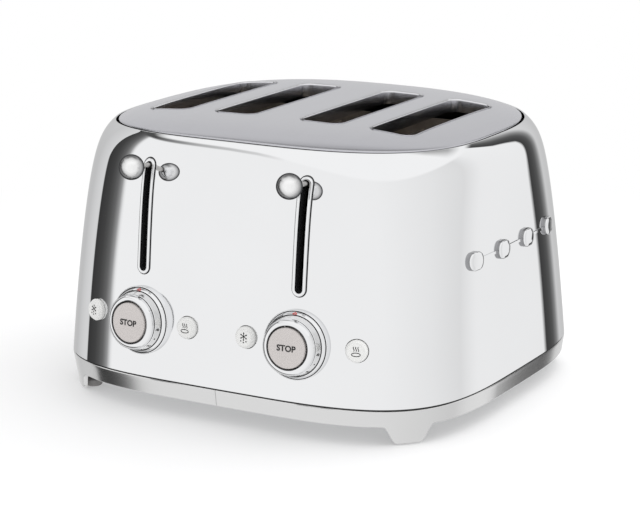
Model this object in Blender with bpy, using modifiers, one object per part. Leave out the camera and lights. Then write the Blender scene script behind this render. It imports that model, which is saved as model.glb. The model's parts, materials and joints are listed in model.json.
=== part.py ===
"""A toaster with four slots, a mirror shell, two levers and two browning dials.

The toaster stands on z = 0 with its controls towards -Y. All sizes are in metres.
Run it with blender --background --python part.py, or from Blender's text editor.
"""
from math import copysign, cos, hypot, pi, radians, sin

import bmesh
import bpy
from mathutils import Matrix, Vector

# Gaps
REST_GAP = 0.0003            # between two pieces that rest on each other
RUN_GAP = 0.0005             # round a piece that slides or turns
TOP_SEAM_GAP = 0.0008        # the dark line between the shell and the top plate

# Slots for bread
SLOT_WIDTH = 0.0334
SLOT_LENGTH = 0.1320
SLOT_CORNER = 0.0080
SLOT_SETBACK = 0.0011        # centre of the slots behind the body's centre
INNER_SLOT_X = 0.0356
OUTER_SLOT_X = 0.0920
PAIR_X = (INNER_SLOT_X + OUTER_SLOT_X) / 2
HALF_PITCH = (OUTER_SLOT_X - INNER_SLOT_X) / 2
SIDES = (("left", -1), ("right", 1))

# Shell: the plan outline is a squared ellipse that leans in as it rises
SEAM_HEIGHT = 0.0268         # lower edge of the shell
TOP_SEAM_HEIGHT = 0.1993     # upper edge of the shell
HALF_WIDTH = 0.1650          # at the lower edge
END_ROOM = 0.0833            # from the slots' ends to the faces' lower edges
HALF_DEPTH = SLOT_LENGTH / 2 + END_ROOM
CORNER_POWER = 3.88          # squareness of the outline at the lower edge
CORNER_SOFTENING = 1.02      # how much of it is lost by the upper edge
CORNER_SOFTENING_RATE = 2.5
SIDE_LEAN = 0.0120           # how far each side comes in evenly
SIDE_SHOULDER = 0.0109       # and how far it curls in at the top
SIDE_SHOULDER_RATE = 22.0
FACE_LEAN = 0.0163
FACE_SHOULDER = 0.0104
FACE_SHOULDER_RATE = 10.0
TOP_ARCH = 0.0032            # drop of the upper edge at the sides
SHELL_WALL = 0.0012
SHELL_COLUMNS = 48
SHELL_ROWS = 9
ROW_CROWDING = 1.8           # how strongly the rows crowd towards the shoulder

# Top plate
TOP_WALL = 0.0010
DOME_RISE = 0.0067
DOME_RATE = 6.9
DOME_SPREADS = (1.0, 0.93, 0.80, 0.50)    # rings of its crown, as shares of the plan
TOP_RIM_DROP = 0.0030
LIP_WALL = 0.0008
LIP_DROP = 0.0093            # lower edge of the slots' lips under the upper seam
LIP_BOTTOM = TOP_SEAM_HEIGHT - LIP_DROP

# Base
TRIM_BOTTOM = 0.0137
TRIM_SHOULDER = 0.0250       # where its flare ends and an upright edge begins
TRIM_FLARE = 0.0015          # how much wider the trim is there
TRIM_WALL = 0.0025
TRIM_COLUMNS = 64
TRIM_RISES = (0.0, 0.35, 0.7, 1.0)        # its rows, as shares of its height up to the shoulder
FOOT_BOTTOM = 0.0010
FOOT_HALF_WIDTH = 0.0086     # along the trim, at the floor
FOOT_FLANK = 0.0099          # length of each curved flank beyond it
PAN_BOTTOM = 0.0157
PAN_WALL = 0.0015
PAN_TOP = PAN_BOTTOM + PAN_WALL
PAD_RADIUS = 0.0062
PAD_HEIGHT = 0.0050
PAD_STEM_RADIUS = 0.0035
TRAY_INNER_X = 0.0120
TRAY_WIDTH = 0.0960
TRAY_HEIGHT = 0.0064
TRAY_WALL = 0.0010
TRAY_REAR_INSET = 0.00307    # its back corner inside the trim's face
TRAY_TAB_WIDTH = 0.0360
TRAY_TAB_REACH = 0.0070
GLAND_HEIGHT = 0.0440
GLAND_RADIUS = 0.0080
GLAND_NECK_RADIUS = 0.0058
GLAND_BORE = 0.0036
GLAND_PROUD = 0.0035

# Toasting chamber, laid out round the slots
FRONT_BULKHEAD_ROOM = 0.0071               # from the slots' front ends
REAR_BULKHEAD_ROOM = 0.0069
FRONT_BULKHEAD_Y = SLOT_SETBACK - SLOT_LENGTH / 2 - FRONT_BULKHEAD_ROOM
REAR_BULKHEAD_Y = SLOT_SETBACK + SLOT_LENGTH / 2 + REAR_BULKHEAD_ROOM
CHAMBER_MARGIN = 0.0260      # from the outer slots' centres to its corners
CHAMBER_HALF_WIDTH = OUTER_SLOT_X + CHAMBER_MARGIN
BULKHEAD_WALL = 0.0012
BULKHEAD_DROP = 0.0123       # under the upper seam
BULKHEAD_TOP = TOP_SEAM_HEIGHT - BULKHEAD_DROP
BULKHEAD_ARCH = 0.0280       # top of the rear wall's openings, over the crumb trays
CENTRE_LEG_HALF_WIDTH = 0.0095
TRAY_FRONT_Y = FRONT_BULKHEAD_Y + 0.0040
BOARD_WALL = 0.0008
BOARD_BOTTOM = 0.0500
BOARD_TOP = BULKHEAD_TOP - 0.0110
WINDING_WIRE = 0.0004
WINDING_TURNS = 6
WINDING_START = 0.75         # places along the board, in turns
WINDING_RISE = 0.10
WINDING_CROSSING = 0.30
WINDING_FALL = 0.40
GUIDE_WALL = 0.0016
GUIDE_BOTTOM = 0.0460
GUIDE_TOP = BULKHEAD_TOP - 0.0070
GUIDE_END_ROOM = 0.0100      # from each bulkhead
GUIDE_FRONT_Y = FRONT_BULKHEAD_Y + GUIDE_END_ROOM
GUIDE_REAR_Y = REAR_BULKHEAD_Y - GUIDE_END_ROOM
GUIDE_BAR = 0.0030
GUIDE_WINDOWS = 5
GUIDE_SETBACK = 0.0010       # beyond the slot's edge, at rest
LINK_BOTTOM = 0.0400
LINK_HEIGHT = 0.0030
LINK_WIDTH = 0.0040
LINK_SPREAD = 0.0400         # each side's links, from the centre
LINK_STAGGER = 0.0120        # between the links of the two guides

# Lever mechanism, laid out from the front bulkhead and from the magnet up
LEVER_TRAVEL = 0.0680
ROD_RADIUS = 0.0025
ROD_OFFSET = 0.0200          # beside the lever
ROD_TOP = BULKHEAD_TOP - 0.0030
BUSH_WALL = 0.0025
SPRING_RADIUS = 0.0052
SPRING_WIRE = 0.0006
SPRING_TURNS = 7
SPRING_STEPS = 9             # straight runs in each turn
MAGNET_RADIUS = 0.0085
MAGNET_CORE_RADIUS = 0.0042
MAGNET_BASE_RADIUS = 0.0098
MAGNET_CORE_STEP = 0.0020
MAGNET_BASE = 0.0030
MAGNET_TOP = 0.0400
CARRIAGE_ROOM = 0.0040       # over the magnet when the lever is down
CARRIAGE_WALL = 0.0016
CARRIAGE_TALL = 0.0220
CARRIAGE_BOTTOM = MAGNET_TOP + CARRIAGE_ROOM + LEVER_TRAVEL
CARRIAGE_TOP = CARRIAGE_BOTTOM + CARRIAGE_TALL
CARRIAGE_SHOULDER = 0.0070   # beyond the centres of its two racks
CARRIAGE_Y = FRONT_BULKHEAD_Y - 0.0078
ROD_Y = CARRIAGE_Y - 0.0082
MAGNET_Y = CARRIAGE_Y - 0.0142
RACK_HEIGHT = CARRIAGE_BOTTOM + 0.0100
RACK_WALL = 0.0020
RACK_WIDTH = 0.0170
RACK_END_ROOM = 0.0080       # from each bulkhead
RACK_FRONT_Y = FRONT_BULKHEAD_Y + RACK_END_ROOM
RACK_REAR_Y = REAR_BULKHEAD_Y - RACK_END_ROOM
RACK_WINDOWS = 4
RACK_NECK = 0.0060
ARM_RADIUS = 0.0020
ARM_BEND_Y = CARRIAGE_Y - 0.0152
ARM_BEND_STEPS = 5

# Lever slit
SLIT_DROP = 0.0203           # under the upper seam
SLIT_TOP = TOP_SEAM_HEIGHT - SLIT_DROP
SLIT_WIDTH = 2 * (ARM_RADIUS + RUN_GAP)
SLIT_END_ROOM = 0.0054       # under the arm when the lever is down
ARM_HEIGHT = SLIT_TOP - ARM_RADIUS - 2 * REST_GAP          # where it passes through the shell
SLIT_BOTTOM = ARM_HEIGHT - LEVER_TRAVEL - SLIT_END_ROOM
BEZEL_RIM = 0.0032
BEZEL_PROUD = 0.0008
SLEEVE_WALL = 0.0010
SLEEVE_DEPTH = 0.0060
BALL_RADIUS = 0.0090
BALL_LIFT = 0.0029           # centre of the ball over the arm
BALL_HEIGHT = ARM_HEIGHT + BALL_LIFT
BALL_STANDOFF = 0.02364      # centre of the ball in front of the face
BALL_BORE_END = 0.0030       # from the ball's centre to the end of the arm in it

# Dials and buttons; heights are measured straight out of the face
DIAL_RADIUS = 0.0198
DIAL_RIM_WIDTH = 0.0055       # from its front edge in to the stop button
DIAL_NECK_INSET = 0.0012
DIAL_NECK_HEIGHT = 0.0105
DIAL_RIM_HEIGHT = 0.0115
DIAL_HEIGHT = 0.0152
DIAL_EDGE = 0.0005            # bevels of its front rim
DIAL_WEB = 0.0020             # the wall inside it, behind the stop button
DIAL_HUB_RADIUS = 0.0060
COLLAR_STEP = 0.0019          # from the dial out to the collar's neck
COLLAR_FLARE = 0.0028         # and from there out to its edge
COLLAR_NECK_RADIUS = DIAL_RADIUS + COLLAR_STEP
COLLAR_RADIUS = COLLAR_NECK_RADIUS + COLLAR_FLARE
COLLAR_EDGE = 0.0026
COLLAR_HEIGHT = 0.0050
DIAL_SKIRT_RADIUS = COLLAR_NECK_RADIUS - RUN_GAP
STOP_RADIUS = DIAL_RADIUS - DIAL_RIM_WIDTH
STOP_HEIGHT = 0.0156
STOP_DEPTH = 0.0050           # of its cap
STOP_EDGE = 0.0008            # bevel round its cap
STOP_STEM_RADIUS = 0.0026
BUTTON_RADIUS = 0.0078
BUTTON_HEIGHT = 0.0040
BUTTON_DEPTH = 0.0050         # of its cap behind the face
BUTTON_EDGE = 0.0007
BUTTON_STEM_RADIUS = 0.0026
OUTER_BUTTON_X = 0.1070
INNER_BUTTON_X = 0.0242
COLLAR_DROP = 0.0081          # from the bezel down to the collar
CONTROL_HEIGHT = SLIT_BOTTOM - BEZEL_RIM - COLLAR_DROP - COLLAR_RADIUS
CONTROL_BOARD_INSET = 0.0323  # behind the face's lower edge
CONTROL_BOARD_Y = CONTROL_BOARD_INSET - HALF_DEPTH
CONTROL_BOARD_WALL = 0.0016
CONTROL_BOARD_HALF_WIDTH = 0.1150
CONTROL_BOARD_BOTTOM = PAN_TOP + 0.0128
CONTROL_BOARD_TOP = CONTROL_HEIGHT + 0.0288
STEM_END_Y = CONTROL_BOARD_Y - CONTROL_BOARD_WALL / 2 - 0.0028
BOARD_BLOCK_RISE = 0.0080     # from the board's lower edge to its blocks
BOARD_BLOCKS = (              # left edge, width, height and depth of each
    (-0.100, 0.016, 0.020, 0.010),
    (-0.018, 0.032, 0.026, 0.014),
    (0.030, 0.012, 0.016, 0.008),
    (0.084, 0.016, 0.020, 0.010),
)

# Side badge: a row of plain studs
BADGE_HEIGHT = 0.1185
BADGE_PITCH = 0.0400
BADGE_STUDS = 4
STUD_HALF_WIDTH = 0.0085
STUD_HALF_HEIGHT = 0.0065
STUD_PROUD = 0.0030
STRIP_HALF_HEIGHT = 0.0012
STRIP_PROUD = 0.0008

ROUND_END = 0.999            # a round end's radius, as a share of its half width
CREASE_ANGLE = 35            # degrees


FINISHES = {                 # colour, roughness, metallic
    "mirror_chrome": ((0.90, 0.90, 0.91), 0.05, 1.0),
    "satin_steel": ((0.74, 0.73, 0.76), 0.32, 1.0),
    "silver_trim": ((0.70, 0.70, 0.71), 0.30, 0.7),
    "galvanised": ((0.62, 0.63, 0.64), 0.42, 1.0),
    "spring_steel": ((0.55, 0.55, 0.56), 0.30, 1.0),
    "mica": ((0.62, 0.56, 0.46), 0.55, 0.0),
    "heater_wire": ((0.30, 0.26, 0.22), 0.45, 1.0),
    "black_plastic": ((0.03, 0.03, 0.03), 0.50, 0.0),
    "rubber": ((0.02, 0.02, 0.02), 0.80, 0.0),
    "warm_grey": ((0.66, 0.63, 0.61), 0.45, 0.0),
    "white_plastic": ((0.80, 0.80, 0.79), 0.40, 0.0),
    "circuit_board": ((0.05, 0.20, 0.09), 0.50, 0.0),
    "copper_coil": ((0.60, 0.28, 0.14), 0.35, 1.0),
}


# ---------------------------------------------------------------- tools

def clear_scene():
    for item in list(bpy.data.objects):
        bpy.data.objects.remove(item, do_unlink=True)


def new_collection(name):
    collection = bpy.data.collections.new(name)
    bpy.context.scene.collection.children.link(collection)
    return collection


def finish(name):
    """The material of that name, made on first use."""
    material = bpy.data.materials.get(name)
    if material is None:
        colour, roughness, metallic = FINISHES[name]
        material = bpy.data.materials.new(name)
        material.use_nodes = True
        shader = material.node_tree.nodes["Principled BSDF"]
        shader.inputs["Base Color"].default_value = (*colour, 1.0)
        shader.inputs["Roughness"].default_value = roughness
        shader.inputs["Metallic"].default_value = metallic
    return material


def frame(name, origin=(0, 0, 0), axes=None, parent=None):
    """An empty that pieces are placed in."""
    empty = bpy.data.objects.new(name, None)
    empty.location = origin
    if axes is not None:
        empty.rotation_euler = axes.to_euler()
    empty.parent = parent
    bpy.data.collections["toaster"].objects.link(empty)
    return empty


def place(name, data, look, parent, origin=(0, 0, 0), turn=(0, 0, 0)):
    """An object in a frame; a look of None makes it a cutter."""
    item = bpy.data.objects.new(name, data)
    item.parent = parent
    item.location = origin
    item.rotation_euler = turn
    if look is None:
        item.hide_render = True
        item.display_type = "WIRE"
        bpy.data.collections["cutters"].objects.link(item)
    else:
        if not data.materials:
            data.materials.append(finish(look))
        bpy.data.collections["toaster"].objects.link(item)
    return item


def mesh_from(bm, name, smooth=False):
    mesh = bpy.data.meshes.new(name)
    bmesh.ops.recalc_face_normals(bm, faces=bm.faces)
    bm.to_mesh(mesh)
    bm.free()
    if smooth:
        mesh.shade_smooth()
        mesh.set_sharp_from_angle(angle=radians(CREASE_ANGLE))
    return mesh


def loft(name, rings, look, parent, closed=True, capped=False, wall=None, tip=None):
    """A surface through rings of points, given from the bottom up."""
    bm = bmesh.new()
    rows = [[bm.verts.new(point) for point in ring] for ring in rings]
    count = len(rows[0])
    for lower, upper in zip(rows, rows[1:]):
        for step in range(count if closed else count - 1):
            after = (step + 1) % count
            bm.faces.new((lower[step], lower[after], upper[after], upper[step]))
    if tip is not None:
        apex = bm.verts.new(tip)
        for step in range(count):
            bm.faces.new((rows[-1][step], rows[-1][(step + 1) % count], apex))
    if capped:
        bm.faces.new(rows[0][::-1])
    if capped and tip is None:
        bm.faces.new(rows[-1])
    mesh = bpy.data.meshes.new(name)
    bm.to_mesh(mesh)
    bm.free()
    mesh.shade_smooth()
    mesh.set_sharp_from_angle(angle=radians(CREASE_ANGLE))
    item = place(name, mesh, look, parent)
    if wall is not None:
        shell = item.modifiers.new("wall", "SOLIDIFY")
        shell.thickness = wall
        shell.offset = -1
        shell.use_even_offset = True
    return item


def block(name, low, high, look, parent):
    """A box between two corners."""
    low, high = Vector(low), Vector(high)
    bm = bmesh.new()
    bmesh.ops.create_cube(bm, size=1.0)
    size = high - low
    bmesh.ops.scale(bm, vec=size, verts=bm.verts)
    bmesh.ops.translate(bm, vec=(low + high) / 2, verts=bm.verts)
    return place(name, mesh_from(bm, name), look, parent)


def cylinder(name, radius, low, high, look, parent, origin=(0, 0, 0), turn=(0, 0, 0), sides=24):
    """A round bar along its own Z, from low to high."""
    bm = bmesh.new()
    bmesh.ops.create_cone(bm, cap_ends=True, segments=sides, radius1=radius, radius2=radius,
                          depth=high - low)
    bmesh.ops.translate(bm, vec=(0, 0, (low + high) / 2), verts=bm.verts)
    return place(name, mesh_from(bm, name, smooth=True), look, parent, origin, turn)


def turned(name, profile, look, parent, origin=(0, 0, 0), turn=(0, 0, 0), hollow=False, steps=28):
    """A profile of (radius, height), top to bottom on its outer side, turned about Z."""
    bm = bmesh.new()
    points = [bm.verts.new((radius, 0, height)) for radius, height in profile]
    for start, end in zip(points, points[1:]):
        bm.edges.new((start, end))
    if hollow:
        bm.edges.new((points[-1], points[0]))
    mesh = bpy.data.meshes.new(name)
    bm.to_mesh(mesh)
    bm.free()
    item = place(name, mesh, look, parent, origin, turn)
    lathe = item.modifiers.new("lathe", "SCREW")
    lathe.axis = "Z"
    lathe.steps = steps
    lathe.render_steps = steps
    lathe.use_merge_vertices = True
    lathe.merge_threshold = 0.000001
    lathe.use_smooth_shade = False
    return item


def plate(name, outline, windows, wall, look, parent, origin=(0, 0, 0), turn=(0, 0, 0)):
    """A flat piece, wall thick and centred on its own XY plane, with windows through it."""
    curve = bpy.data.curves.new(name, "CURVE")
    curve.dimensions = "2D"
    curve.fill_mode = "BOTH"
    curve.extrude = wall / 2
    for loop in (outline, *windows):
        spline = curve.splines.new("POLY")
        spline.points.add(len(loop) - 1)
        for point, (x, y) in zip(spline.points, loop):
            point.co = (x, y, 0, 1)
        spline.use_cyclic_u = True
    return place(name, curve, look, parent, origin, turn)


def wire(name, points, radius, look, parent, resolution=2, origin=(0, 0, 0)):
    """A round wire through points, with filled ends."""
    curve = bpy.data.curves.new(name, "CURVE")
    curve.dimensions = "3D"
    curve.bevel_depth = radius
    curve.bevel_resolution = resolution
    curve.use_fill_caps = True
    spline = curve.splines.new("POLY")
    spline.points.add(len(points) - 1)
    for point, place_at in zip(spline.points, points):
        point.co = (*place_at, 1)
    return place(name, curve, look, parent, origin)


def as_mesh(item):
    """The same object with its curve turned into a welded mesh, ready to be cut."""
    bpy.context.view_layer.update()
    graph = bpy.context.evaluated_depsgraph_get()
    mesh = bpy.data.meshes.new_from_object(item.evaluated_get(graph))
    bm = bmesh.new()
    bm.from_mesh(mesh)
    bmesh.ops.remove_doubles(bm, verts=bm.verts, dist=0.000001)
    bmesh.ops.recalc_face_normals(bm, faces=bm.faces)
    bm.to_mesh(mesh)
    bm.free()
    name, parent = item.name, item.parent
    origin, turn = item.location.copy(), item.rotation_euler.copy()
    look = None if item.hide_render else mesh.materials[0].name
    bpy.data.objects.remove(item, do_unlink=True)
    return place(name, mesh, look, parent, origin, turn)


def combine(item, tools, operation="DIFFERENCE"):
    """Cut, join or trim an object with others, which become cutters."""
    for tool in tools:
        boolean = item.modifiers.new(operation.lower(), "BOOLEAN")
        boolean.operation = operation
        boolean.solver = "EXACT"
        boolean.object = tool
    return item


def rounded_rectangle(half_x, half_y, radius, centre=(0, 0), steps=4):
    points = []
    for corner in range(4):
        start = corner * pi / 2
        side_x = 1 if corner in (0, 3) else -1
        side_y = 1 if corner in (0, 1) else -1
        for step in range(steps + 1):
            angle = start + step * pi / 2 / steps
            points.append((centre[0] + side_x * (half_x - radius) + radius * cos(angle),
                           centre[1] + side_y * (half_y - radius) + radius * sin(angle)))
    return points


def rectangle(left, bottom, right, top):
    return [(left, bottom), (right, bottom), (right, top), (left, top)]


# ---------------------------------------------------------------- the body's form

def outline_point(half_x, half_y, power, heading):
    """Point of a squared ellipse where its outward normal has this heading."""
    reach = 1 / (power - 1)
    x = copysign(abs(half_x * cos(heading)) ** reach, cos(heading))
    y = copysign(abs(half_y * sin(heading)) ** reach, sin(heading))
    scale = (abs(x) ** power + abs(y) ** power) ** (-1 / power)
    return half_x * x * scale, half_y * y * scale


def section(level):
    """Half width, half depth and squareness of the shell, from level 0 up to 1."""
    half_x = HALF_WIDTH - SIDE_LEAN * level - SIDE_SHOULDER * level ** SIDE_SHOULDER_RATE
    half_y = HALF_DEPTH - FACE_LEAN * level - FACE_SHOULDER * level ** FACE_SHOULDER_RATE
    return half_x, half_y, CORNER_POWER - CORNER_SOFTENING * level ** CORNER_SOFTENING_RATE


def shell_height(x, half_x):
    """Height of the shell above its lower edge, which falls away towards the sides."""
    return TOP_SEAM_HEIGHT - SEAM_HEIGHT - TOP_ARCH * (x / half_x) ** 2


def shell_ring(level, grow=0.0, columns=SHELL_COLUMNS):
    half_x, half_y, power = section(level)
    ring = []
    for step in range(columns):
        heading = 2 * pi * (step + 0.5) / columns
        x, y = outline_point(half_x + grow, half_y + grow, power, heading)
        ring.append(Vector((x, y, SEAM_HEIGHT + level * shell_height(x, half_x + grow))))
    return ring


def shell_levels():
    """Rows that crowd together towards the shoulder."""
    return [1 - (1 - row / SHELL_ROWS) ** ROW_CROWDING for row in range(SHELL_ROWS + 1)]


def face_depth(x, z):
    """Distance from the centre plane to the front or rear face."""
    level = max(0.0, (z - SEAM_HEIGHT) / shell_height(x, HALF_WIDTH))
    half_x, half_y, power = section(level)
    return half_y * (1 - abs(x / half_x) ** power) ** (1 / power)


def side_reach(y, z):
    """Distance from the centre plane to either side face, where the arch is lowest."""
    level = (z - SEAM_HEIGHT) / shell_height(HALF_WIDTH, HALF_WIDTH)
    half_x, half_y, power = section(level)
    return half_x * (1 - abs(y / half_y) ** power) ** (1 / power)


def face_axes(x, z):
    """Axes whose Z points straight out of the front face at that spot."""
    nudge = 0.0005
    slope_x = (face_depth(x + nudge, z) - face_depth(x - nudge, z)) / (2 * nudge)
    slope_z = (face_depth(x, z + nudge) - face_depth(x, z - nudge)) / (2 * nudge)
    outward = Vector((-slope_x, -1, -slope_z)).normalized()
    across = Vector((0, 0, 1)).cross(outward).normalized()
    return Matrix((across, outward.cross(across), outward)).transposed()


def face_frame(name, x, z, parent):
    return frame(name, (x, -face_depth(x, z), z), face_axes(x, z), parent)


def ball_centre():
    """Centre of a lever's ball, seen from the middle of its pair of slots."""
    return Vector((0, -face_depth(PAIR_X, BALL_HEIGHT) - BALL_STANDOFF, BALL_HEIGHT))


def body_shift():
    """How far back the body stands, so that the origin is under the middle of the whole part."""
    front = BALL_RADIUS - ball_centre().y
    rear = face_depth(0, GLAND_HEIGHT) + GLAND_PROUD
    return (front - rear) / 2


def body_envelope(name, grow, parent):
    """A closed solid of the shell's outer form, grown by a gap."""
    rings = [shell_ring(level, grow) for level in shell_levels()]
    return loft(name, rings, None, parent, capped=True)


def slot_centres():
    return (-OUTER_SLOT_X, -INNER_SLOT_X, INNER_SLOT_X, OUTER_SLOT_X)


def board_centres():
    return [side * x for side in (-1, 1)
            for x in (INNER_SLOT_X - HALF_PITCH, PAIR_X, OUTER_SLOT_X + HALF_PITCH)]


# ---------------------------------------------------------------- shell and top

def slit_outline(margin):
    """Round-ended outline of the lever's slit, grown by a margin."""
    half_x = SLIT_WIDTH / 2 + margin
    half_z = (SLIT_TOP - SLIT_BOTTOM) / 2 + margin
    return rounded_rectangle(half_x, half_z, half_x * ROUND_END, (0, (SLIT_TOP + SLIT_BOTTOM) / 2))


def slit_prism(name, margin, front, rear, x, parent, look=None):
    """The slit's outline, grown by a margin and run through from front to rear."""
    prism = plate(name, slit_outline(margin), (), rear - front, look, parent,
                  (x, (front + rear) / 2, 0), (pi / 2, 0, 0))
    return as_mesh(prism)


def make_body_shell(body):
    rings = [shell_ring(level) for level in shell_levels()]
    shell = loft("body_shell", rings, "mirror_chrome", body, wall=SHELL_WALL)
    cuts = []
    for side_name, side in SIDES:
        x = side * PAIR_X
        face = -face_depth(PAIR_X, SLIT_BOTTOM)
        cuts.append(slit_prism(f"slit_cut_{side_name}", SLEEVE_WALL + REST_GAP,
                               face - BALL_RADIUS, ARM_BEND_Y, x, body))
        dial = face_frame(f"dial_cut_frame_{side_name}", x, CONTROL_HEIGHT, body)
        cuts.append(cylinder(f"dial_cut_{side_name}", DIAL_HUB_RADIUS + 2 * RUN_GAP,
                             -COLLAR_RADIUS, COLLAR_RADIUS, None, dial))
        for button_x in (side * OUTER_BUTTON_X, side * INNER_BUTTON_X):
            at = face_frame(f"button_cut_frame_{button_x:.3f}", button_x, CONTROL_HEIGHT, body)
            cuts.append(cylinder(f"button_cut_{button_x:.3f}", BUTTON_RADIUS + RUN_GAP,
                                 -2 * BUTTON_DEPTH, 2 * BUTTON_DEPTH, None, at))
    rear = face_depth(0, GLAND_HEIGHT)
    cuts.append(cylinder("gland_cut", GLAND_NECK_RADIUS + REST_GAP, -GLAND_RADIUS, GLAND_RADIUS,
                         None, body, (0, rear, GLAND_HEIGHT), (pi / 2, 0, 0)))
    return combine(shell, cuts)


def dome_height(x, y, half_x, half_y, power, drop=0.0):
    """Height of the crowned top over a spot of the plan."""
    spread = min(1.0, (abs(x / half_x) ** power + abs(y / half_y) ** power) ** (1 / power))
    return TOP_SEAM_HEIGHT - TOP_ARCH * (x / half_x) ** 2 + DOME_RISE * (1 - spread ** DOME_RATE) - drop


def dome_ring(spread, drop=0.0, inset=TOP_SEAM_GAP):
    half_x, half_y, power = section(1.0)
    half_x, half_y = half_x - inset, half_y - inset
    ring = []
    for step in range(SHELL_COLUMNS):
        heading = 2 * pi * (step + 0.5) / SHELL_COLUMNS
        x, y = outline_point(half_x * spread, half_y * spread, power, heading)
        ring.append(Vector((x, y, dome_height(x, y, half_x, half_y, power, drop))))
    return ring


def make_top_plate(body):
    crown = Vector((0, 0, TOP_SEAM_HEIGHT + DOME_RISE))
    rim = [point - Vector((0, 0, TOP_RIM_DROP))
           for point in dome_ring(1.0, inset=TOP_SEAM_GAP + TOP_RIM_DROP)]
    rings = [rim] + [dome_ring(spread) for spread in DOME_SPREADS]
    top = loft("top_plate", rings, "satin_steel", body, wall=TOP_WALL, tip=crown)
    half_x, half_y = SLOT_WIDTH / 2, SLOT_LENGTH / 2
    tall = TOP_SEAM_HEIGHT + 2 * DOME_RISE - LIP_BOTTOM
    middle = LIP_BOTTOM + tall / 2
    lips, openings = [], []
    drop = TOP_WALL / 2
    for number, x in enumerate(slot_centres(), start=1):
        outer = rounded_rectangle(half_x + LIP_WALL, half_y + LIP_WALL, SLOT_CORNER + LIP_WALL)
        lip = as_mesh(plate(f"lip_{number}", outer, (), tall, None, body, (x, SLOT_SETBACK, middle)))
        ceiling_rings = [[Vector((point.x, point.y, LIP_BOTTOM - drop)) for point in dome_ring(1.0)]]
        ceiling_rings += [dome_ring(spread, drop) for spread in DOME_SPREADS]
        ceiling = loft(f"lip_ceiling_{number}", ceiling_rings, None, body, capped=True,
                       tip=crown - Vector((0, 0, drop)))
        lips.append(combine(lip, [ceiling], "INTERSECT"))
        inner = rounded_rectangle(half_x, half_y, SLOT_CORNER)
        openings.append(as_mesh(plate(f"slot_cut_{number}", inner, (), 2 * tall, None, body,
                                      (x, SLOT_SETBACK, middle))))
    combine(top, lips, "UNION")
    return combine(top, openings)


def make_badge(body):
    """Four plain studs on one strip, curved to the side of the shell."""
    half_span = BADGE_PITCH * (BADGE_STUDS - 1) / 2
    reach = side_reach(0, BADGE_HEIGHT - STUD_HALF_HEIGHT) + 2 * STUD_PROUD
    inner = side_reach(half_span + STUD_HALF_WIDTH, BADGE_HEIGHT + STUD_HALF_HEIGHT) - STUD_PROUD
    badge = block("side_badge", (inner, -half_span, BADGE_HEIGHT - STRIP_HALF_HEIGHT),
                  (reach, half_span, BADGE_HEIGHT + STRIP_HALF_HEIGHT), "mirror_chrome", body)
    combine(badge, [body_envelope("strip_front", STRIP_PROUD, body)], "INTERSECT")
    studs = []
    for number in range(BADGE_STUDS):
        y = number * BADGE_PITCH - half_span
        outline = rounded_rectangle(STUD_HALF_WIDTH, STUD_HALF_HEIGHT, STUD_HALF_HEIGHT * ROUND_END)
        stud = as_mesh(plate(f"stud_{number + 1}", outline, (), reach - inner, None, body,
                             ((reach + inner) / 2, y, BADGE_HEIGHT), (pi / 2, 0, pi / 2)))
        studs.append(combine(stud, [body_envelope(f"stud_front_{number + 1}", STUD_PROUD, body)],
                             "INTERSECT"))
    combine(badge, studs, "UNION")
    return combine(badge, [body_envelope("badge_back", REST_GAP, body)])


# ---------------------------------------------------------------- base

def trim_half_sizes(z):
    """The trim's half width and depth, which flare up to the shell's."""
    inset = TRIM_FLARE * (TRIM_SHOULDER - z) / (TRIM_SHOULDER - TRIM_BOTTOM)
    return HALF_WIDTH - inset, HALF_DEPTH - inset


def tray_rear():
    """Where the trays' backs stand, measured from the trim's face at their outer corners."""
    half_x, half_y = trim_half_sizes(PAN_TOP)
    share = (TRAY_INNER_X + TRAY_WIDTH) / half_x
    return half_y * (1 - share ** CORNER_POWER) ** (1 / CORNER_POWER) - TRAY_REAR_INSET


def foot_drop(distance):
    """How far the trim's lower edge comes down, at a distance along it from a corner."""
    along = (abs(distance) - FOOT_HALF_WIDTH) / FOOT_FLANK
    along = min(1.0, max(0.0, along))
    ease = along * along * (3 - 2 * along)
    return (TRIM_BOTTOM - FOOT_BOTTOM) * (1 - ease)


def make_base_trim(side_name, side, body):
    """Half of the base ring, with a foot at each of its two corners."""
    half_x, half_y = trim_half_sizes(TRIM_BOTTOM)
    columns = TRIM_COLUMNS // 2
    headings = [-pi / 2 + pi * step / columns for step in range(columns + 1)]
    flat = [Vector(outline_point(half_x, half_y, CORNER_POWER, heading)) for heading in headings]
    lengths = [0.0]
    for start, end in zip(flat, flat[1:]):
        lengths.append(lengths[-1] + (end - start).length)
    corners = [lengths[columns // 4], lengths[columns - columns // 4]]
    rings = []
    for rise in (*TRIM_RISES, None):
        ring = []
        for heading, length in zip(headings, lengths):
            bottom = TRIM_BOTTOM - max(foot_drop(length - corner) for corner in corners)
            z = bottom + (TRIM_SHOULDER - bottom) * (1.0 if rise is None else rise)
            x, y = outline_point(*trim_half_sizes(z), CORNER_POWER, heading)
            top = SEAM_HEIGHT - 2 * REST_GAP
            ring.append(Vector((side * max(x, REST_GAP / 2), y, top if rise is None else z)))
        rings.append(ring if side > 0 else ring[::-1])
    trim = loft(f"base_trim_{side_name}", rings, "silver_trim", body, closed=False, wall=TRIM_WALL)
    inner, outer = TRAY_INNER_X - RUN_GAP, TRAY_INNER_X + TRAY_WIDTH + RUN_GAP
    low = PAN_TOP
    window = block(f"tray_window_{side_name}", (side * inner, tray_rear() - TRIM_WALL * 3, low),
                   (side * outer, HALF_DEPTH + TRIM_WALL, low + TRAY_HEIGHT + 2 * RUN_GAP), None, body)
    return combine(trim, [window])


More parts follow.
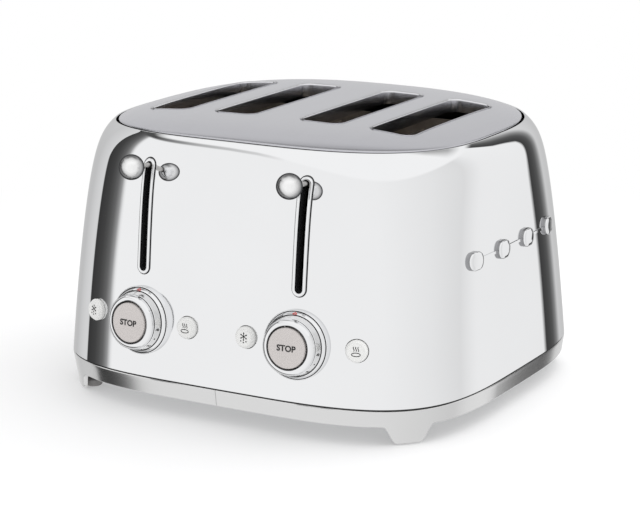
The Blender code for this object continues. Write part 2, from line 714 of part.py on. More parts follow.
def make_base_pan(body):
    half_x, half_y = trim_half_sizes(PAN_BOTTOM)
    inset = TRIM_WALL + 2 * REST_GAP
    outline = [outline_point(half_x - inset, half_y - inset, CORNER_POWER, 2 * pi * step / SHELL_COLUMNS)
               for step in range(SHELL_COLUMNS)]
    return plate("base_pan", outline, (), PAN_WALL, "galvanised", body,
                 (0, 0, PAN_BOTTOM + PAN_WALL / 2))


def make_foot_pad(name, side_x, side_y, body):
    half_x, half_y = trim_half_sizes(0.0)
    corner = Vector(outline_point(half_x, half_y, CORNER_POWER, pi / 4))
    inset = TRIM_WALL + PAD_RADIUS + 4 * REST_GAP
    centre = corner - Vector((cos(pi / 4), sin(pi / 4))) * inset
    profile = ((0, PAN_BOTTOM - REST_GAP), (PAD_STEM_RADIUS, PAN_BOTTOM - REST_GAP),
               (PAD_STEM_RADIUS, PAD_HEIGHT), (PAD_RADIUS, PAD_HEIGHT), (PAD_RADIUS, 0), (0, 0))
    return turned(name, profile, "rubber", body, (side_x * centre.x, side_y * centre.y, 0), steps=16)


def make_crumb_tray(side_name, side, body):
    """An open tray that pulls out of the back, with a finger tab."""
    slide = frame(f"tray_slide_{side_name}", (side * (TRAY_INNER_X + TRAY_WIDTH / 2), 0, 0), None, body)
    low = PAN_TOP + RUN_GAP
    half, rear = TRAY_WIDTH / 2, tray_rear()
    tray = block(f"crumb_tray_{side_name}", (-half, TRAY_FRONT_Y, low),
                 (half, rear, low + TRAY_HEIGHT), "galvanised", slide)
    hollow = block(f"tray_hollow_{side_name}", (TRAY_WALL - half, TRAY_FRONT_Y + TRAY_WALL, low + TRAY_WALL),
                   (half - TRAY_WALL, rear - TRAY_WALL, low + 2 * TRAY_HEIGHT), None, slide)
    tab = block(f"tray_tab_{side_name}", (-TRAY_TAB_WIDTH / 2, rear - TRAY_WALL / 2, low + TRAY_WALL),
                (TRAY_TAB_WIDTH / 2, rear + TRAY_TAB_REACH, low + 3 * TRAY_WALL), None, slide)
    combine(tray, [hollow])
    return combine(tray, [tab], "UNION")


def make_cord_gland(body):
    """A grommet through the back of the shell, with its bore left open."""
    rear = face_depth(0, GLAND_HEIGHT)
    inside = SHELL_WALL + 4 * REST_GAP
    spot = frame("gland_frame", (0, rear, GLAND_HEIGHT), Matrix.Rotation(-pi / 2, 3, "X"), body)
    gland = turned("cord_gland", ((GLAND_RADIUS, GLAND_PROUD), (GLAND_RADIUS, -inside),
                                  (GLAND_BORE, -inside), (GLAND_BORE, GLAND_PROUD)),
                   "black_plastic", spot, hollow=True, steps=16)
    combine(gland, [body_envelope("gland_back", REST_GAP, body)])
    neck = turned("gland_neck", ((GLAND_NECK_RADIUS, GLAND_PROUD / 2), (GLAND_NECK_RADIUS, -2 * inside),
                                 (GLAND_BORE, -2 * inside), (GLAND_BORE, GLAND_PROUD / 2)),
                  None, spot, hollow=True, steps=16)
    return combine(gland, [neck], "UNION")


# ---------------------------------------------------------------- toasting chamber

def make_bulkheads(body):
    """The chamber's end walls: the racks' necks pass the front one, the crumb trays the rear one."""
    foot = PAN_TOP + REST_GAP
    half_neck = RACK_NECK / 2 + RUN_GAP
    low = RACK_HEIGHT - LEVER_TRAVEL - RACK_WALL
    slits = [rectangle(x - half_neck, low, x + half_neck, RACK_HEIGHT + 2 * RACK_WALL)
             for x in slot_centres()]
    wall = rectangle(-CHAMBER_HALF_WIDTH, foot, CHAMBER_HALF_WIDTH, BULKHEAD_TOP)
    plate("front_bulkhead", wall, slits, BULKHEAD_WALL, "galvanised", body,
          (0, FRONT_BULKHEAD_Y, 0), (pi / 2, 0, 0))
    outer = TRAY_INNER_X + TRAY_WIDTH + 4 * RUN_GAP
    right = [(CENTRE_LEG_HALF_WIDTH, foot), (CENTRE_LEG_HALF_WIDTH, BULKHEAD_ARCH),
             (outer, BULKHEAD_ARCH), (outer, foot), (CHAMBER_HALF_WIDTH, foot),
             (CHAMBER_HALF_WIDTH, BULKHEAD_TOP)]
    left = [(-x, z) for x, z in reversed(right)]
    plate("rear_bulkhead", right + left, (), BULKHEAD_WALL, "galvanised", body,
          (0, REAR_BULKHEAD_Y, 0), (pi / 2, 0, 0))


def make_heaters(body):
    """Mica boards between the bulkheads, each wound with flat turns of wire."""
    front = FRONT_BULKHEAD_Y + BULKHEAD_WALL / 2 + REST_GAP
    rear = REAR_BULKHEAD_Y - BULKHEAD_WALL / 2 - REST_GAP
    reach = BOARD_WALL / 2 + REST_GAP + WINDING_WIRE
    low, high = BOARD_BOTTOM - REST_GAP - WINDING_WIRE, BOARD_TOP + REST_GAP + WINDING_WIRE
    pitch = (rear - front) / (WINDING_TURNS + 1)
    for number, x in enumerate(sorted(board_centres()), start=1):
        plate(f"heater_board_{number}", rectangle(front, BOARD_BOTTOM, rear, BOARD_TOP), (),
              BOARD_WALL, "mica", body, (x, 0, 0), (pi / 2, 0, pi / 2))
        points = []
        for turn in range(WINDING_TURNS):
            y = front + pitch * (turn + WINDING_START)
            points += [(-reach, y, low), (-reach, y + pitch * WINDING_RISE, high),
                       (reach, y + pitch * WINDING_CROSSING, high),
                       (reach, y + pitch * WINDING_FALL, low)]
        wire(f"heater_winding_{number}", points, WINDING_WIRE, "heater_wire", body, 0, (x, 0, 0))


def guide_link(name, y, slide):
    """A U-shaped bar under the slots that joins two grilles."""
    inner, outer = HALF_PITCH - GUIDE_WALL, HALF_PITCH + GUIDE_WALL
    rise, floor = GUIDE_BOTTOM + GUIDE_BAR / 2, LINK_BOTTOM + LINK_HEIGHT
    outline = [(-outer, LINK_BOTTOM), (outer, LINK_BOTTOM), (outer, rise), (inner, rise),
               (inner, floor), (-inner, floor), (-inner, rise), (-outer, rise)]
    return as_mesh(plate(name, outline, (), LINK_WIDTH, None, slide, (0, y, 0), (pi / 2, 0, 0)))


def make_bread_guides(side_name, side, body):
    """Two sets of grilles: one to the left of each slot, and one to the right of it."""
    pitch = (GUIDE_REAR_Y - GUIDE_FRONT_Y - GUIDE_BAR) / GUIDE_WINDOWS
    windows = [rectangle(GUIDE_FRONT_Y + GUIDE_BAR + pitch * step, GUIDE_BOTTOM + GUIDE_BAR,
                         GUIDE_FRONT_Y + pitch * (step + 1), GUIDE_TOP - GUIDE_BAR)
               for step in range(GUIDE_WINDOWS)]
    for set_name, hand in (("a", -1), ("b", 1)):
        offset = hand * (SLOT_WIDTH / 2 + GUIDE_SETBACK)
        slide = frame(f"guide_slide_{side_name}_{set_name}", (side * PAIR_X + offset, 0, 0), None, body)
        grille = rectangle(GUIDE_FRONT_Y, GUIDE_BOTTOM, GUIDE_REAR_Y, GUIDE_TOP)
        name = f"bread_guide_{side_name}_{set_name}"
        near, far = [as_mesh(plate(name + suffix, grille, windows, GUIDE_WALL, look, slide, (x, 0, 0),
                                   (pi / 2, 0, pi / 2)))
                     for suffix, look, x in (("", "galvanised", -HALF_PITCH), ("_far", None, HALF_PITCH))]
        links = [guide_link(f"{name}_link_{end}", end_y + hand * LINK_STAGGER / 2, slide)
                 for end, end_y in (("front", -LINK_SPREAD), ("rear", LINK_SPREAD))]
        combine(near, [*links, far], "UNION")


# ---------------------------------------------------------------- lever mechanism

def make_rack(number, x, carriage):
    """A bread rack: a ladder with a neck that passes through the front bulkhead."""
    neck, half = RACK_NECK / 2, RACK_WIDTH / 2
    neck_end = CARRIAGE_Y + CARRIAGE_WALL / 2 + REST_GAP
    outline = [(-neck, neck_end), (neck, neck_end), (neck, RACK_FRONT_Y), (half, RACK_FRONT_Y),
               (half, RACK_REAR_Y), (-half, RACK_REAR_Y), (-half, RACK_FRONT_Y), (-neck, RACK_FRONT_Y)]
    bar = GUIDE_BAR
    pitch = (RACK_REAR_Y - RACK_FRONT_Y - bar) / RACK_WINDOWS
    windows = [rectangle(bar - half, RACK_FRONT_Y + bar + pitch * step, half - bar,
                         RACK_FRONT_Y + pitch * (step + 1)) for step in range(RACK_WINDOWS)]
    return plate(f"bread_rack_{number}", outline, windows, RACK_WALL, "galvanised", carriage,
                 (x, 0, RACK_HEIGHT))


def make_carriage(side_name, carriage, rod_x):
    """The plate that both racks hang on, with a bush that runs on the guide rod."""
    half = HALF_PITCH + CARRIAGE_SHOULDER
    front, back = CARRIAGE_Y - CARRIAGE_WALL / 2, CARRIAGE_Y + CARRIAGE_WALL / 2
    bush_radius = ROD_RADIUS + RUN_GAP + BUSH_WALL
    plate_part = block(f"carriage_{side_name}", (-half, front, CARRIAGE_BOTTOM),
                       (half, back, CARRIAGE_TOP), "galvanised", carriage)
    saddle = block(f"saddle_{side_name}", (rod_x - bush_radius, ROD_Y, CARRIAGE_BOTTOM + CARRIAGE_WALL),
                   (rod_x + bush_radius, front + CARRIAGE_WALL / 2, CARRIAGE_TOP - CARRIAGE_WALL),
                   None, carriage)
    bush = cylinder(f"bush_{side_name}", bush_radius, CARRIAGE_BOTTOM, CARRIAGE_TOP, None, carriage,
                    (rod_x, ROD_Y, 0))
    bore = cylinder(f"bush_bore_{side_name}", ROD_RADIUS + RUN_GAP, CARRIAGE_BOTTOM - BUSH_WALL,
                    CARRIAGE_TOP + BUSH_WALL, None, carriage, (rod_x, ROD_Y, 0))
    combine(plate_part, [saddle, bush], "UNION")
    return combine(plate_part, [bore])


def arm_points():
    """The lever arm: up the front of the carriage, then forwards through the slit."""
    foot_y = CARRIAGE_Y - CARRIAGE_WALL / 2 - REST_GAP - ARM_RADIUS
    bend = foot_y - ARM_BEND_Y
    points = [(0, foot_y, CARRIAGE_BOTTOM + CARRIAGE_WALL)]
    for step in range(ARM_BEND_STEPS + 1):
        angle = step * pi / 2 / ARM_BEND_STEPS
        points.append((0, foot_y - bend * (1 - cos(angle)), ARM_HEIGHT - bend * (1 - sin(angle))))
    face = -face_depth(PAIR_X, BALL_HEIGHT)
    points.append((0, face, ARM_HEIGHT))
    ball = ball_centre()
    inward = (Vector(points[-1]) - ball).normalized()
    points.append(tuple(ball + inward * BALL_BORE_END))
    return points


def make_lever(side_name, carriage):
    points = arm_points()
    wire(f"lever_arm_{side_name}", points, ARM_RADIUS, "spring_steel", carriage, 2)
    ball = ball_centre()
    inward = (Vector(points[-2]) - ball).normalized()
    spot = frame(f"ball_frame_{side_name}", ball, inward.to_track_quat("Z", "Y").to_matrix(), carriage)
    bm = bmesh.new()
    bmesh.ops.create_uvsphere(bm, u_segments=20, v_segments=12, radius=BALL_RADIUS)
    ball_mesh = mesh_from(bm, f"lever_knob_{side_name}", smooth=True)
    knob = place(f"lever_knob_{side_name}", ball_mesh, "mirror_chrome", spot)
    bore = cylinder(f"ball_bore_{side_name}", ARM_RADIUS + REST_GAP, BALL_BORE_END - REST_GAP,
                    2 * BALL_RADIUS, None, spot, sides=12)
    return combine(knob, [bore])


def make_guide_rod(side_name, x, body):
    floor = PAN_TOP + REST_GAP
    return cylinder(f"guide_rod_{side_name}", ROD_RADIUS, floor, ROD_TOP, "spring_steel", body,
                    (x, ROD_Y, 0), sides=16)


def make_return_spring(side_name, x, body):
    """The spring round the guide rod: it stands on the base pan and lifts the carriage."""
    low = PAN_TOP + 2 * REST_GAP + SPRING_WIRE
    high = CARRIAGE_BOTTOM - 2 * REST_GAP - SPRING_WIRE
    steps = SPRING_TURNS * SPRING_STEPS
    points = [(SPRING_RADIUS * cos(2 * pi * step / SPRING_STEPS),
               SPRING_RADIUS * sin(2 * pi * step / SPRING_STEPS),
               low + (high - low) * step / steps) for step in range(steps + 1)]
    return wire(f"return_spring_{side_name}", points, SPRING_WIRE, "spring_steel", body, 0,
                (x, ROD_Y, 0))


def make_latch_magnet(side_name, x, body):
    """The electromagnet that holds the carriage down: a yoke with a coil on it."""
    floor = PAN_TOP + REST_GAP
    winding_top, base_top = MAGNET_TOP - MAGNET_CORE_STEP, floor + MAGNET_BASE
    profile = ((0, MAGNET_TOP), (MAGNET_CORE_RADIUS, MAGNET_TOP), (MAGNET_CORE_RADIUS, winding_top),
               (MAGNET_RADIUS, winding_top), (MAGNET_RADIUS, base_top),
               (MAGNET_BASE_RADIUS, base_top), (MAGNET_BASE_RADIUS, floor), (0, floor))
    return turned(f"latch_magnet_{side_name}", profile, "copper_coil", body, (x, MAGNET_Y, 0), steps=16)


def make_lever_group(side_name, side, body):
    x = side * PAIR_X
    carriage = frame(f"carriage_slide_{side_name}", (x, 0, 0), None, body)
    centres = slot_centres()[:2] if side < 0 else slot_centres()[2:]
    first = 1 if side < 0 else 3
    for number, centre in enumerate(centres, start=first):
        make_rack(number, centre - x, carriage)
    make_carriage(side_name, carriage, ROD_OFFSET)
    make_lever(side_name, carriage)
    make_guide_rod(side_name, x + ROD_OFFSET, body)
    make_return_spring(side_name, x + ROD_OFFSET, body)
    make_latch_magnet(side_name, x - ROD_OFFSET, body)


# ---------------------------------------------------------------- controls

def make_slit_bezel(side_name, side, body):
    """A rim round the lever's slit that follows the face, with a sleeve through the wall."""
    x = side * PAIR_X
    front = -face_depth(PAIR_X, SLIT_BOTTOM) - BALL_RADIUS
    rear = -face_depth(PAIR_X, SLIT_TOP) + SLEEVE_DEPTH
    bezel = slit_prism(f"slit_bezel_{side_name}", BEZEL_RIM, front, rear, x, body, "mirror_chrome")
    combine(bezel, [body_envelope(f"bezel_back_{side_name}", REST_GAP, body)])
    sleeve = slit_prism(f"bezel_sleeve_{side_name}", SLEEVE_WALL, front, rear - REST_GAP, x, body)
    combine(bezel, [sleeve], "UNION")
    combine(bezel, [body_envelope(f"bezel_front_{side_name}", BEZEL_PROUD, body)], "INTERSECT")
    opening = slit_prism(f"bezel_opening_{side_name}", 0, front - REST_GAP, rear + REST_GAP, x, body)
    return combine(bezel, [opening])


def stem_reach(spot, radius):
    """How far a stem may run back along its axis before it meets the stem line's end."""
    outward = spot.rotation_euler.to_matrix() @ Vector((0, 0, 1))
    room = STEM_END_Y - spot.location.y
    return (room - radius * hypot(outward.x, outward.z)) / -outward.y


def make_dial(side_name, side, body):
    """A fixed collar, the browning dial that turns in it, and the stop button in the dial."""
    spot = face_frame(f"dial_axis_{side_name}", side * PAIR_X, CONTROL_HEIGHT, body)
    bore = DIAL_HUB_RADIUS + RUN_GAP
    collar = turned(f"dial_collar_{side_name}",
                    ((COLLAR_NECK_RADIUS, COLLAR_HEIGHT), (COLLAR_RADIUS - REST_GAP, COLLAR_EDGE + REST_GAP),
                     (COLLAR_RADIUS, COLLAR_EDGE), (COLLAR_RADIUS, -COLLAR_EDGE), (bore, -COLLAR_EDGE),
                     (bore, COLLAR_HEIGHT)), "mirror_chrome", spot, hollow=True)
    combine(collar, [body_envelope(f"collar_back_{side_name}", REST_GAP, body)])

    skirt_base = COLLAR_HEIGHT + RUN_GAP
    web_top = skirt_base + DIAL_WEB
    mouth, stem_hole = STOP_RADIUS + RUN_GAP, STOP_STEM_RADIUS + RUN_GAP
    neck = DIAL_RADIUS - DIAL_NECK_INSET
    round_over = (DIAL_HEIGHT - DIAL_RIM_HEIGHT) / 2
    hub_end = -stem_reach(spot, DIAL_HUB_RADIUS)
    turned(f"browning_dial_{side_name}",
           ((mouth, DIAL_HEIGHT - DIAL_EDGE), (mouth + DIAL_EDGE, DIAL_HEIGHT),
            (DIAL_RADIUS - round_over, DIAL_HEIGHT), (DIAL_RADIUS - DIAL_EDGE, DIAL_HEIGHT - DIAL_EDGE),
            (DIAL_RADIUS, DIAL_HEIGHT - round_over), (DIAL_RADIUS, DIAL_RIM_HEIGHT),
            (neck, DIAL_RIM_HEIGHT), (neck, DIAL_NECK_HEIGHT),
            (DIAL_RADIUS, DIAL_NECK_HEIGHT), (DIAL_SKIRT_RADIUS, skirt_base),
            (DIAL_HUB_RADIUS, skirt_base), (DIAL_HUB_RADIUS, hub_end), (stem_hole, hub_end),
            (stem_hole, web_top), (mouth, web_top)),
           "mirror_chrome", spot, hollow=True)

    stop = frame(f"stop_slide_{side_name}", (0, 0, 0), None, spot)
    stem_end = -stem_reach(spot, STOP_STEM_RADIUS)
    cap_base = STOP_HEIGHT - STOP_DEPTH
    turned(f"stop_button_{side_name}",
           ((0, STOP_HEIGHT), (STOP_RADIUS - STOP_EDGE, STOP_HEIGHT),
            (STOP_RADIUS, STOP_HEIGHT - STOP_EDGE), (STOP_RADIUS, cap_base),
            (STOP_STEM_RADIUS, cap_base), (STOP_STEM_RADIUS, stem_end), (0, stem_end)),
           "warm_grey", stop)


def make_push_button(name, x, body):
    spot = face_frame(f"{name}_slide", x, CONTROL_HEIGHT, body)
    stem_end = -stem_reach(spot, BUTTON_STEM_RADIUS)
    turned(name,
           ((0, BUTTON_HEIGHT), (BUTTON_RADIUS - BUTTON_EDGE, BUTTON_HEIGHT),
            (BUTTON_RADIUS, BUTTON_HEIGHT - BUTTON_EDGE), (BUTTON_RADIUS, -BUTTON_DEPTH),
            (BUTTON_STEM_RADIUS, -BUTTON_DEPTH), (BUTTON_STEM_RADIUS, stem_end), (0, stem_end)),
           "white_plastic", spot, steps=20)


def make_control_board(body):
    """The board behind the controls, with its relay and transformer blocks on the back."""
    half = CONTROL_BOARD_HALF_WIDTH
    rear = CONTROL_BOARD_Y + CONTROL_BOARD_WALL / 2
    board = block("control_board", (-half, CONTROL_BOARD_Y - CONTROL_BOARD_WALL / 2, CONTROL_BOARD_BOTTOM),
                  (half, rear, CONTROL_BOARD_TOP), "circuit_board", body)
    low = CONTROL_BOARD_BOTTOM + BOARD_BLOCK_RISE
    blocks = [block(f"board_block_{number}", (x, rear - CONTROL_BOARD_WALL / 2, low),
                    (x + width, rear + depth, low + height), None, body)
              for number, (x, width, height, depth) in enumerate(BOARD_BLOCKS)]
    return combine(board, blocks, "UNION")


# ---------------------------------------------------------------- the whole toaster

def main():
    clear_scene()
    new_collection("toaster")
    new_collection("cutters")
    body = frame("toaster_body", (0, body_shift(), 0))
    make_body_shell(body)
    make_top_plate(body)
    make_badge(body)
    make_base_pan(body)
    make_cord_gland(body)
    make_bulkheads(body)
    make_heaters(body)
    make_control_board(body)
    for side_name, side in SIDES:
        make_base_trim(side_name, side, body)
        make_crumb_tray(side_name, side, body)
        make_foot_pad(f"foot_pad_front_{side_name}", side, -1, body)
        make_foot_pad(f"foot_pad_rear_{side_name}", side, 1, body)
        make_bread_guides(side_name, side, body)
        make_lever_group(side_name, side, body)
        make_slit_bezel(side_name, side, body)
        make_dial(side_name, side, body)
    make_push_button("defrost_button_left", -OUTER_BUTTON_X, body)
    make_push_button("reheat_button_left", -INNER_BUTTON_X, body)
    make_push_button("defrost_button_right", INNER_BUTTON_X, body)
    make_push_button("reheat_button_right", OUTER_BUTTON_X, body)


if __name__ == "__main__":
    main()
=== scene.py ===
"""Finished pieces, materials and stage for a toaster with four slots.

The plain frame is loaded first, and each operator builds one group of finished pieces
round it. All sizes are in metres, with the controls towards -Y and +Z up.
"""
import json
from math import copysign, cos, hypot, pi, radians, sin, tau

import bmesh
import bpy
from bpy.props import FloatProperty, FloatVectorProperty, IntProperty, PointerProperty
from bpy.types import Operator, Panel, PropertyGroup
from mathutils import Matrix, Vector


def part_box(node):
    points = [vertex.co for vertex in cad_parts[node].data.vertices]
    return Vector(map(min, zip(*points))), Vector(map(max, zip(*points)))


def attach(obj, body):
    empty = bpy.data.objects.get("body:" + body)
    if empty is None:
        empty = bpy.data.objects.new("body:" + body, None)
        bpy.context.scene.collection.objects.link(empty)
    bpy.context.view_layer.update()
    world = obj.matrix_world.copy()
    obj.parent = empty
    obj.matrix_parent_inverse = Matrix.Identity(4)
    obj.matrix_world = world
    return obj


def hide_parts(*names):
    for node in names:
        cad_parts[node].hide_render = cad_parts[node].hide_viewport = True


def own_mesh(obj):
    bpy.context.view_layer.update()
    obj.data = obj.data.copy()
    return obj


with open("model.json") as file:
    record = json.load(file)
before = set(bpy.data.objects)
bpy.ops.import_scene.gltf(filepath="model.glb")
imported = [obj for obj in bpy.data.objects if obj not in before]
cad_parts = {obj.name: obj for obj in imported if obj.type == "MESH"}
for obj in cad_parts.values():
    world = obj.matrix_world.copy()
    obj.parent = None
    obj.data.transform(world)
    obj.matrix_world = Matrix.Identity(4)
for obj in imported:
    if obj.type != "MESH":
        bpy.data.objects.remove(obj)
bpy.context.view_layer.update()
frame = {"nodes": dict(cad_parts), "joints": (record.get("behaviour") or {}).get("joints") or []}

bl_info = {
    "name": "Toaster Finishing",
    "version": (1, 0, 0),
    "blender": (4, 5, 0),
    "location": "3D View > Sidebar > Toaster",
    "description": "Builds the finished pieces, materials and stage of a four-slot toaster",
    "category": "Object",
}

# ---------------------------------------------------------------- sizes read from the frame

TRIM_LOW, TRIM_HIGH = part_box("base_trim_right")
PLATE_LOW, PLATE_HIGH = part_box("top_plate")
HALF_WIDTH = TRIM_HIGH.x
HALF_DEPTH = (TRIM_HIGH.y - TRIM_LOW.y) / 2
CENTRE_Y = (TRIM_HIGH.y + TRIM_LOW.y) / 2
SEAM_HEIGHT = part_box("body_shell")[0].z
SIDES = (("left", -1), ("right", 1))
BUTTONS = ("defrost", "reheat")
JOINTS = {joint["name"]: joint for joint in frame["joints"]}

# The body's form: a squared ellipse that leans in as it rises
CORNER_POWER = 3.88
CORNER_SOFTENING = 1.02
CORNER_SOFTENING_RATE = 2.5
SIDE_LEAN, SIDE_SHOULDER, SIDE_SHOULDER_RATE = 0.0120, 0.0109, 22.0
FACE_LEAN, FACE_SHOULDER, FACE_SHOULDER_RATE = 0.0163, 0.0104, 10.0
TOP_ARCH = 0.0032
DOME_RISE, DOME_RATE = 0.0067, 6.9
TOP_SEAM_HEIGHT = PLATE_HIGH.z - DOME_RISE
SEAM_GAP = 0.0008

# Slots and levers
SLOT_SETBACK = 0.0011
SLOT_PLAN = (0.0167, 0.0660, 0.0080)      # half width, half length, corner radius
INNER_SLOT_X, OUTER_SLOT_X = 0.0356, 0.0920
SLOT_CENTRES = (-OUTER_SLOT_X, -INNER_SLOT_X, INNER_SLOT_X, OUTER_SLOT_X)
PAIR_X = (INNER_SLOT_X + OUTER_SLOT_X) / 2
BEZEL_LOW, BEZEL_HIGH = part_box("slit_bezel_right")
BEZEL_RIM = 0.0032
SLIT_HALF_WIDTH = (BEZEL_HIGH.x - BEZEL_LOW.x) / 2 - BEZEL_RIM
SLIT_LOW, SLIT_HIGH = BEZEL_LOW.z + BEZEL_RIM, BEZEL_HIGH.z - BEZEL_RIM

# Holes in the shell, and how far the slit's hole is clear of the slit
DIAL_HOLE, BUTTON_HOLE, GLAND_HOLE, SLIT_CLEARANCE = 0.0075, 0.0083, 0.0061, 0.0013

# Base trim: its shoulder, its lower edge between the feet, its flare, and the feet
TRIM_SHOULDER, TRIM_EDGE, TRIM_FLARE = 0.0250, 0.0137, 0.0015
FOOT_FLAT, FOOT_RAMP = 0.0086, 0.0099

# Drawing: merge distance, a round end's share of its half width, and a printed stroke
MERGE_DISTANCE = 0.0000005
ROUND_END = 0.999
STROKE = 0.00055


class ToasterSizes(PropertyGroup):
    """Sizes of the finished detail."""
    wall: FloatProperty(name="Shell wall", description="Thickness of the shell's sheet",
                        default=0.0012, subtype="DISTANCE", unit="LENGTH")
    columns: IntProperty(name="Shell columns", description="Faces round the shell",
                         default=288, min=48)
    rows: IntProperty(name="Shell rows", description="Faces up the shell", default=64, min=12)
    lip_roll: FloatProperty(name="Slot lip roll", description="Radius of the slots' rolled lips",
                            default=0.0013, subtype="DISTANCE", unit="LENGTH")
    bezel_roll: FloatProperty(name="Bezel roll", description="Width of the bright rim round each slit",
                              default=0.0026, subtype="DISTANCE", unit="LENGTH")
    print_height: FloatProperty(name="Print height", description="How proud printed marks stand",
                                default=0.00006, subtype="DISTANCE", unit="LENGTH")
    lathe_steps: IntProperty(name="Lathe steps", description="Faces round a turned piece",
                             default=96, min=24)


class ToasterColours(PropertyGroup):
    """Colours of the finishes."""
    chrome: FloatVectorProperty(name="Chrome", description="Mirror shell, dials and bezels",
                                default=(0.925, 0.93, 0.94), size=3, subtype="COLOR")
    plate: FloatVectorProperty(name="Top plate", description="Satin top plate",
                               default=(0.60, 0.60, 0.635), size=3, subtype="COLOR")
    trim: FloatVectorProperty(name="Base trim", description="Silver base trim",
                              default=(0.76, 0.76, 0.76), size=3, subtype="COLOR")
    cap: FloatVectorProperty(name="Stop cap", description="Warm grey stop buttons",
                             default=(0.60, 0.565, 0.55), size=3, subtype="COLOR")
    button: FloatVectorProperty(name="Button", description="Pale grey push buttons",
                                default=(0.80, 0.80, 0.79), size=3, subtype="COLOR")
    pointer: FloatVectorProperty(name="Pointer", description="Red pointer on each collar",
                                 default=(0.62, 0.03, 0.02), size=3, subtype="COLOR")


class ToasterStage(PropertyGroup):
    """Camera and light."""
    azimuth: FloatProperty(name="Azimuth", description="Camera's angle round the toaster",
                           default=radians(30.02), subtype="ANGLE", unit="ROTATION")
    elevation: FloatProperty(name="Elevation", description="Camera's angle above the floor",
                             default=radians(14.39), subtype="ANGLE", unit="ROTATION")
    roll: FloatProperty(name="Roll", description="Camera's turn about its own line of sight",
                        default=radians(-0.29), subtype="ANGLE", unit="ROTATION")
    distance: FloatProperty(name="Distance", description="Camera to the toaster's middle",
                            default=1.6516, subtype="DISTANCE", unit="LENGTH")
    aim_height: FloatProperty(name="Aim height", description="Height the camera looks at",
                              default=0.08926, subtype="DISTANCE", unit="LENGTH")
    aim_side: FloatProperty(name="Aim offset", description="Sideways offset of the aim",
                            default=-0.00086, subtype="DISTANCE", unit="LENGTH")
    lens: FloatProperty(name="Lens", description="Focal length in millimetres", default=124.04,
                        unit="CAMERA")
    key: FloatProperty(name="Key light", description="Power of the soft light overhead",
                       default=9.0, unit="POWER")


# ---------------------------------------------------------------- the body's form

def section(level):
    """Half width, half depth and squareness of the shell, from level 0 up to 1."""
    half_x = HALF_WIDTH - SIDE_LEAN * level - SIDE_SHOULDER * level ** SIDE_SHOULDER_RATE
    half_y = HALF_DEPTH - FACE_LEAN * level - FACE_SHOULDER * level ** FACE_SHOULDER_RATE
    return half_x, half_y, CORNER_POWER - CORNER_SOFTENING * level ** CORNER_SOFTENING_RATE


def outline_point(half_x, half_y, power, heading):
    """Point of a squared ellipse where its outward normal has this heading."""
    reach = 1 / (power - 1)
    x = copysign(abs(half_x * cos(heading)) ** reach, cos(heading))
    y = copysign(abs(half_y * sin(heading)) ** reach, sin(heading))
    scale = (abs(x) ** power + abs(y) ** power) ** (-1 / power)
    return half_x * x * scale, half_y * y * scale


def shell_height(x):
    """Height of the shell from its lower seam to its arched top, at a distance from the middle."""
    return TOP_SEAM_HEIGHT - SEAM_HEIGHT - TOP_ARCH * (x / HALF_WIDTH) ** 2


def form_value(x, y, z):
    """Above zero outside the shell's form and below zero inside it; y is from its middle."""
    level = min(1.0, max(0.0, (z - SEAM_HEIGHT) / shell_height(x)))
    half_x, half_y, power = section(level)
    return (abs(x / half_x) ** power + abs(y / half_y) ** power) ** (1 / power) - 1


def form_normal(point):
    """Outward direction of the shell's form near a point of it."""
    nudge = 0.00005
    x, y, z = point.x, point.y - CENTRE_Y, min(point.z, TOP_SEAM_HEIGHT - TOP_ARCH - nudge)
    return Vector((form_value(x + nudge, y, z) - form_value(x - nudge, y, z),
                   form_value(x, y + nudge, z) - form_value(x, y - nudge, z),
                   form_value(x, y, z + nudge) - form_value(x, y, z - nudge))).normalized()


def face_depth(x, z):
    """Distance from the middle plane to the front or rear face."""
    level = min(1.0, max(0.0, (z - SEAM_HEIGHT) / shell_height(x)))
    half_x, half_y, power = section(level)
    return half_y * (1 - abs(x / half_x) ** power) ** (1 / power)


def front_point(x, z):
    """The spot of the front face at this place across and up."""
    return Vector((x, CENTRE_Y - face_depth(x, z), z))


def side_reach(y, z):
    """Distance from the middle plane to the right side; y is from the body's middle."""
    level = (z - SEAM_HEIGHT) / shell_height(HALF_WIDTH)
    half_x, half_y, power = section(level)
    return half_x * (1 - abs(y / half_y) ** power) ** (1 / power)


def dome_height(x, y):
    """Height of the crowned top over a spot of the plan; y is from the body's middle."""
    half_x, half_y, power = section(1.0)
    half_x, half_y = half_x - SEAM_GAP, half_y - SEAM_GAP
    spread = min(1.0, (abs(x / half_x) ** power + abs(y / half_y) ** power) ** (1 / power))
    return TOP_SEAM_HEIGHT - TOP_ARCH * (x / half_x) ** 2 + DOME_RISE * (1 - spread ** DOME_RATE)


def rounded_outline(half_x, half_y, radius, steps=8):
    """Points round a rectangle with round corners, counter-clockwise."""
    points = []
    for corner in range(4):
        side_x = 1 if corner in (0, 3) else -1
        side_y = 1 if corner in (0, 1) else -1
        for step in range(steps + 1):
            angle = (corner + step / steps) * pi / 2
            points.append((side_x * (half_x - radius) + radius * cos(angle),
                           side_y * (half_y - radius) + radius * sin(angle)))
    return points


def even_outline(half_x, half_y, radius, spacing, steps=10):
    """The same outline with its straight sides divided too."""
    corners = rounded_outline(half_x, half_y, radius, steps)
    points = []
    for index, start in enumerate(corners):
        end = corners[(index + 1) % len(corners)]
        parts = max(1, round(hypot(end[0] - start[0], end[1] - start[1]) / spacing))
        points += [(start[0] + (end[0] - start[0]) * part / parts,
                    start[1] + (end[1] - start[1]) * part / parts) for part in range(parts)]
    return points


# ---------------------------------------------------------------- mesh tools

def plain_mesh(name, bm):
    """A mesh of the faces as they are."""
    mesh = bpy.data.meshes.new(name)
    bm.to_mesh(mesh)
    bm.free()
    return mesh


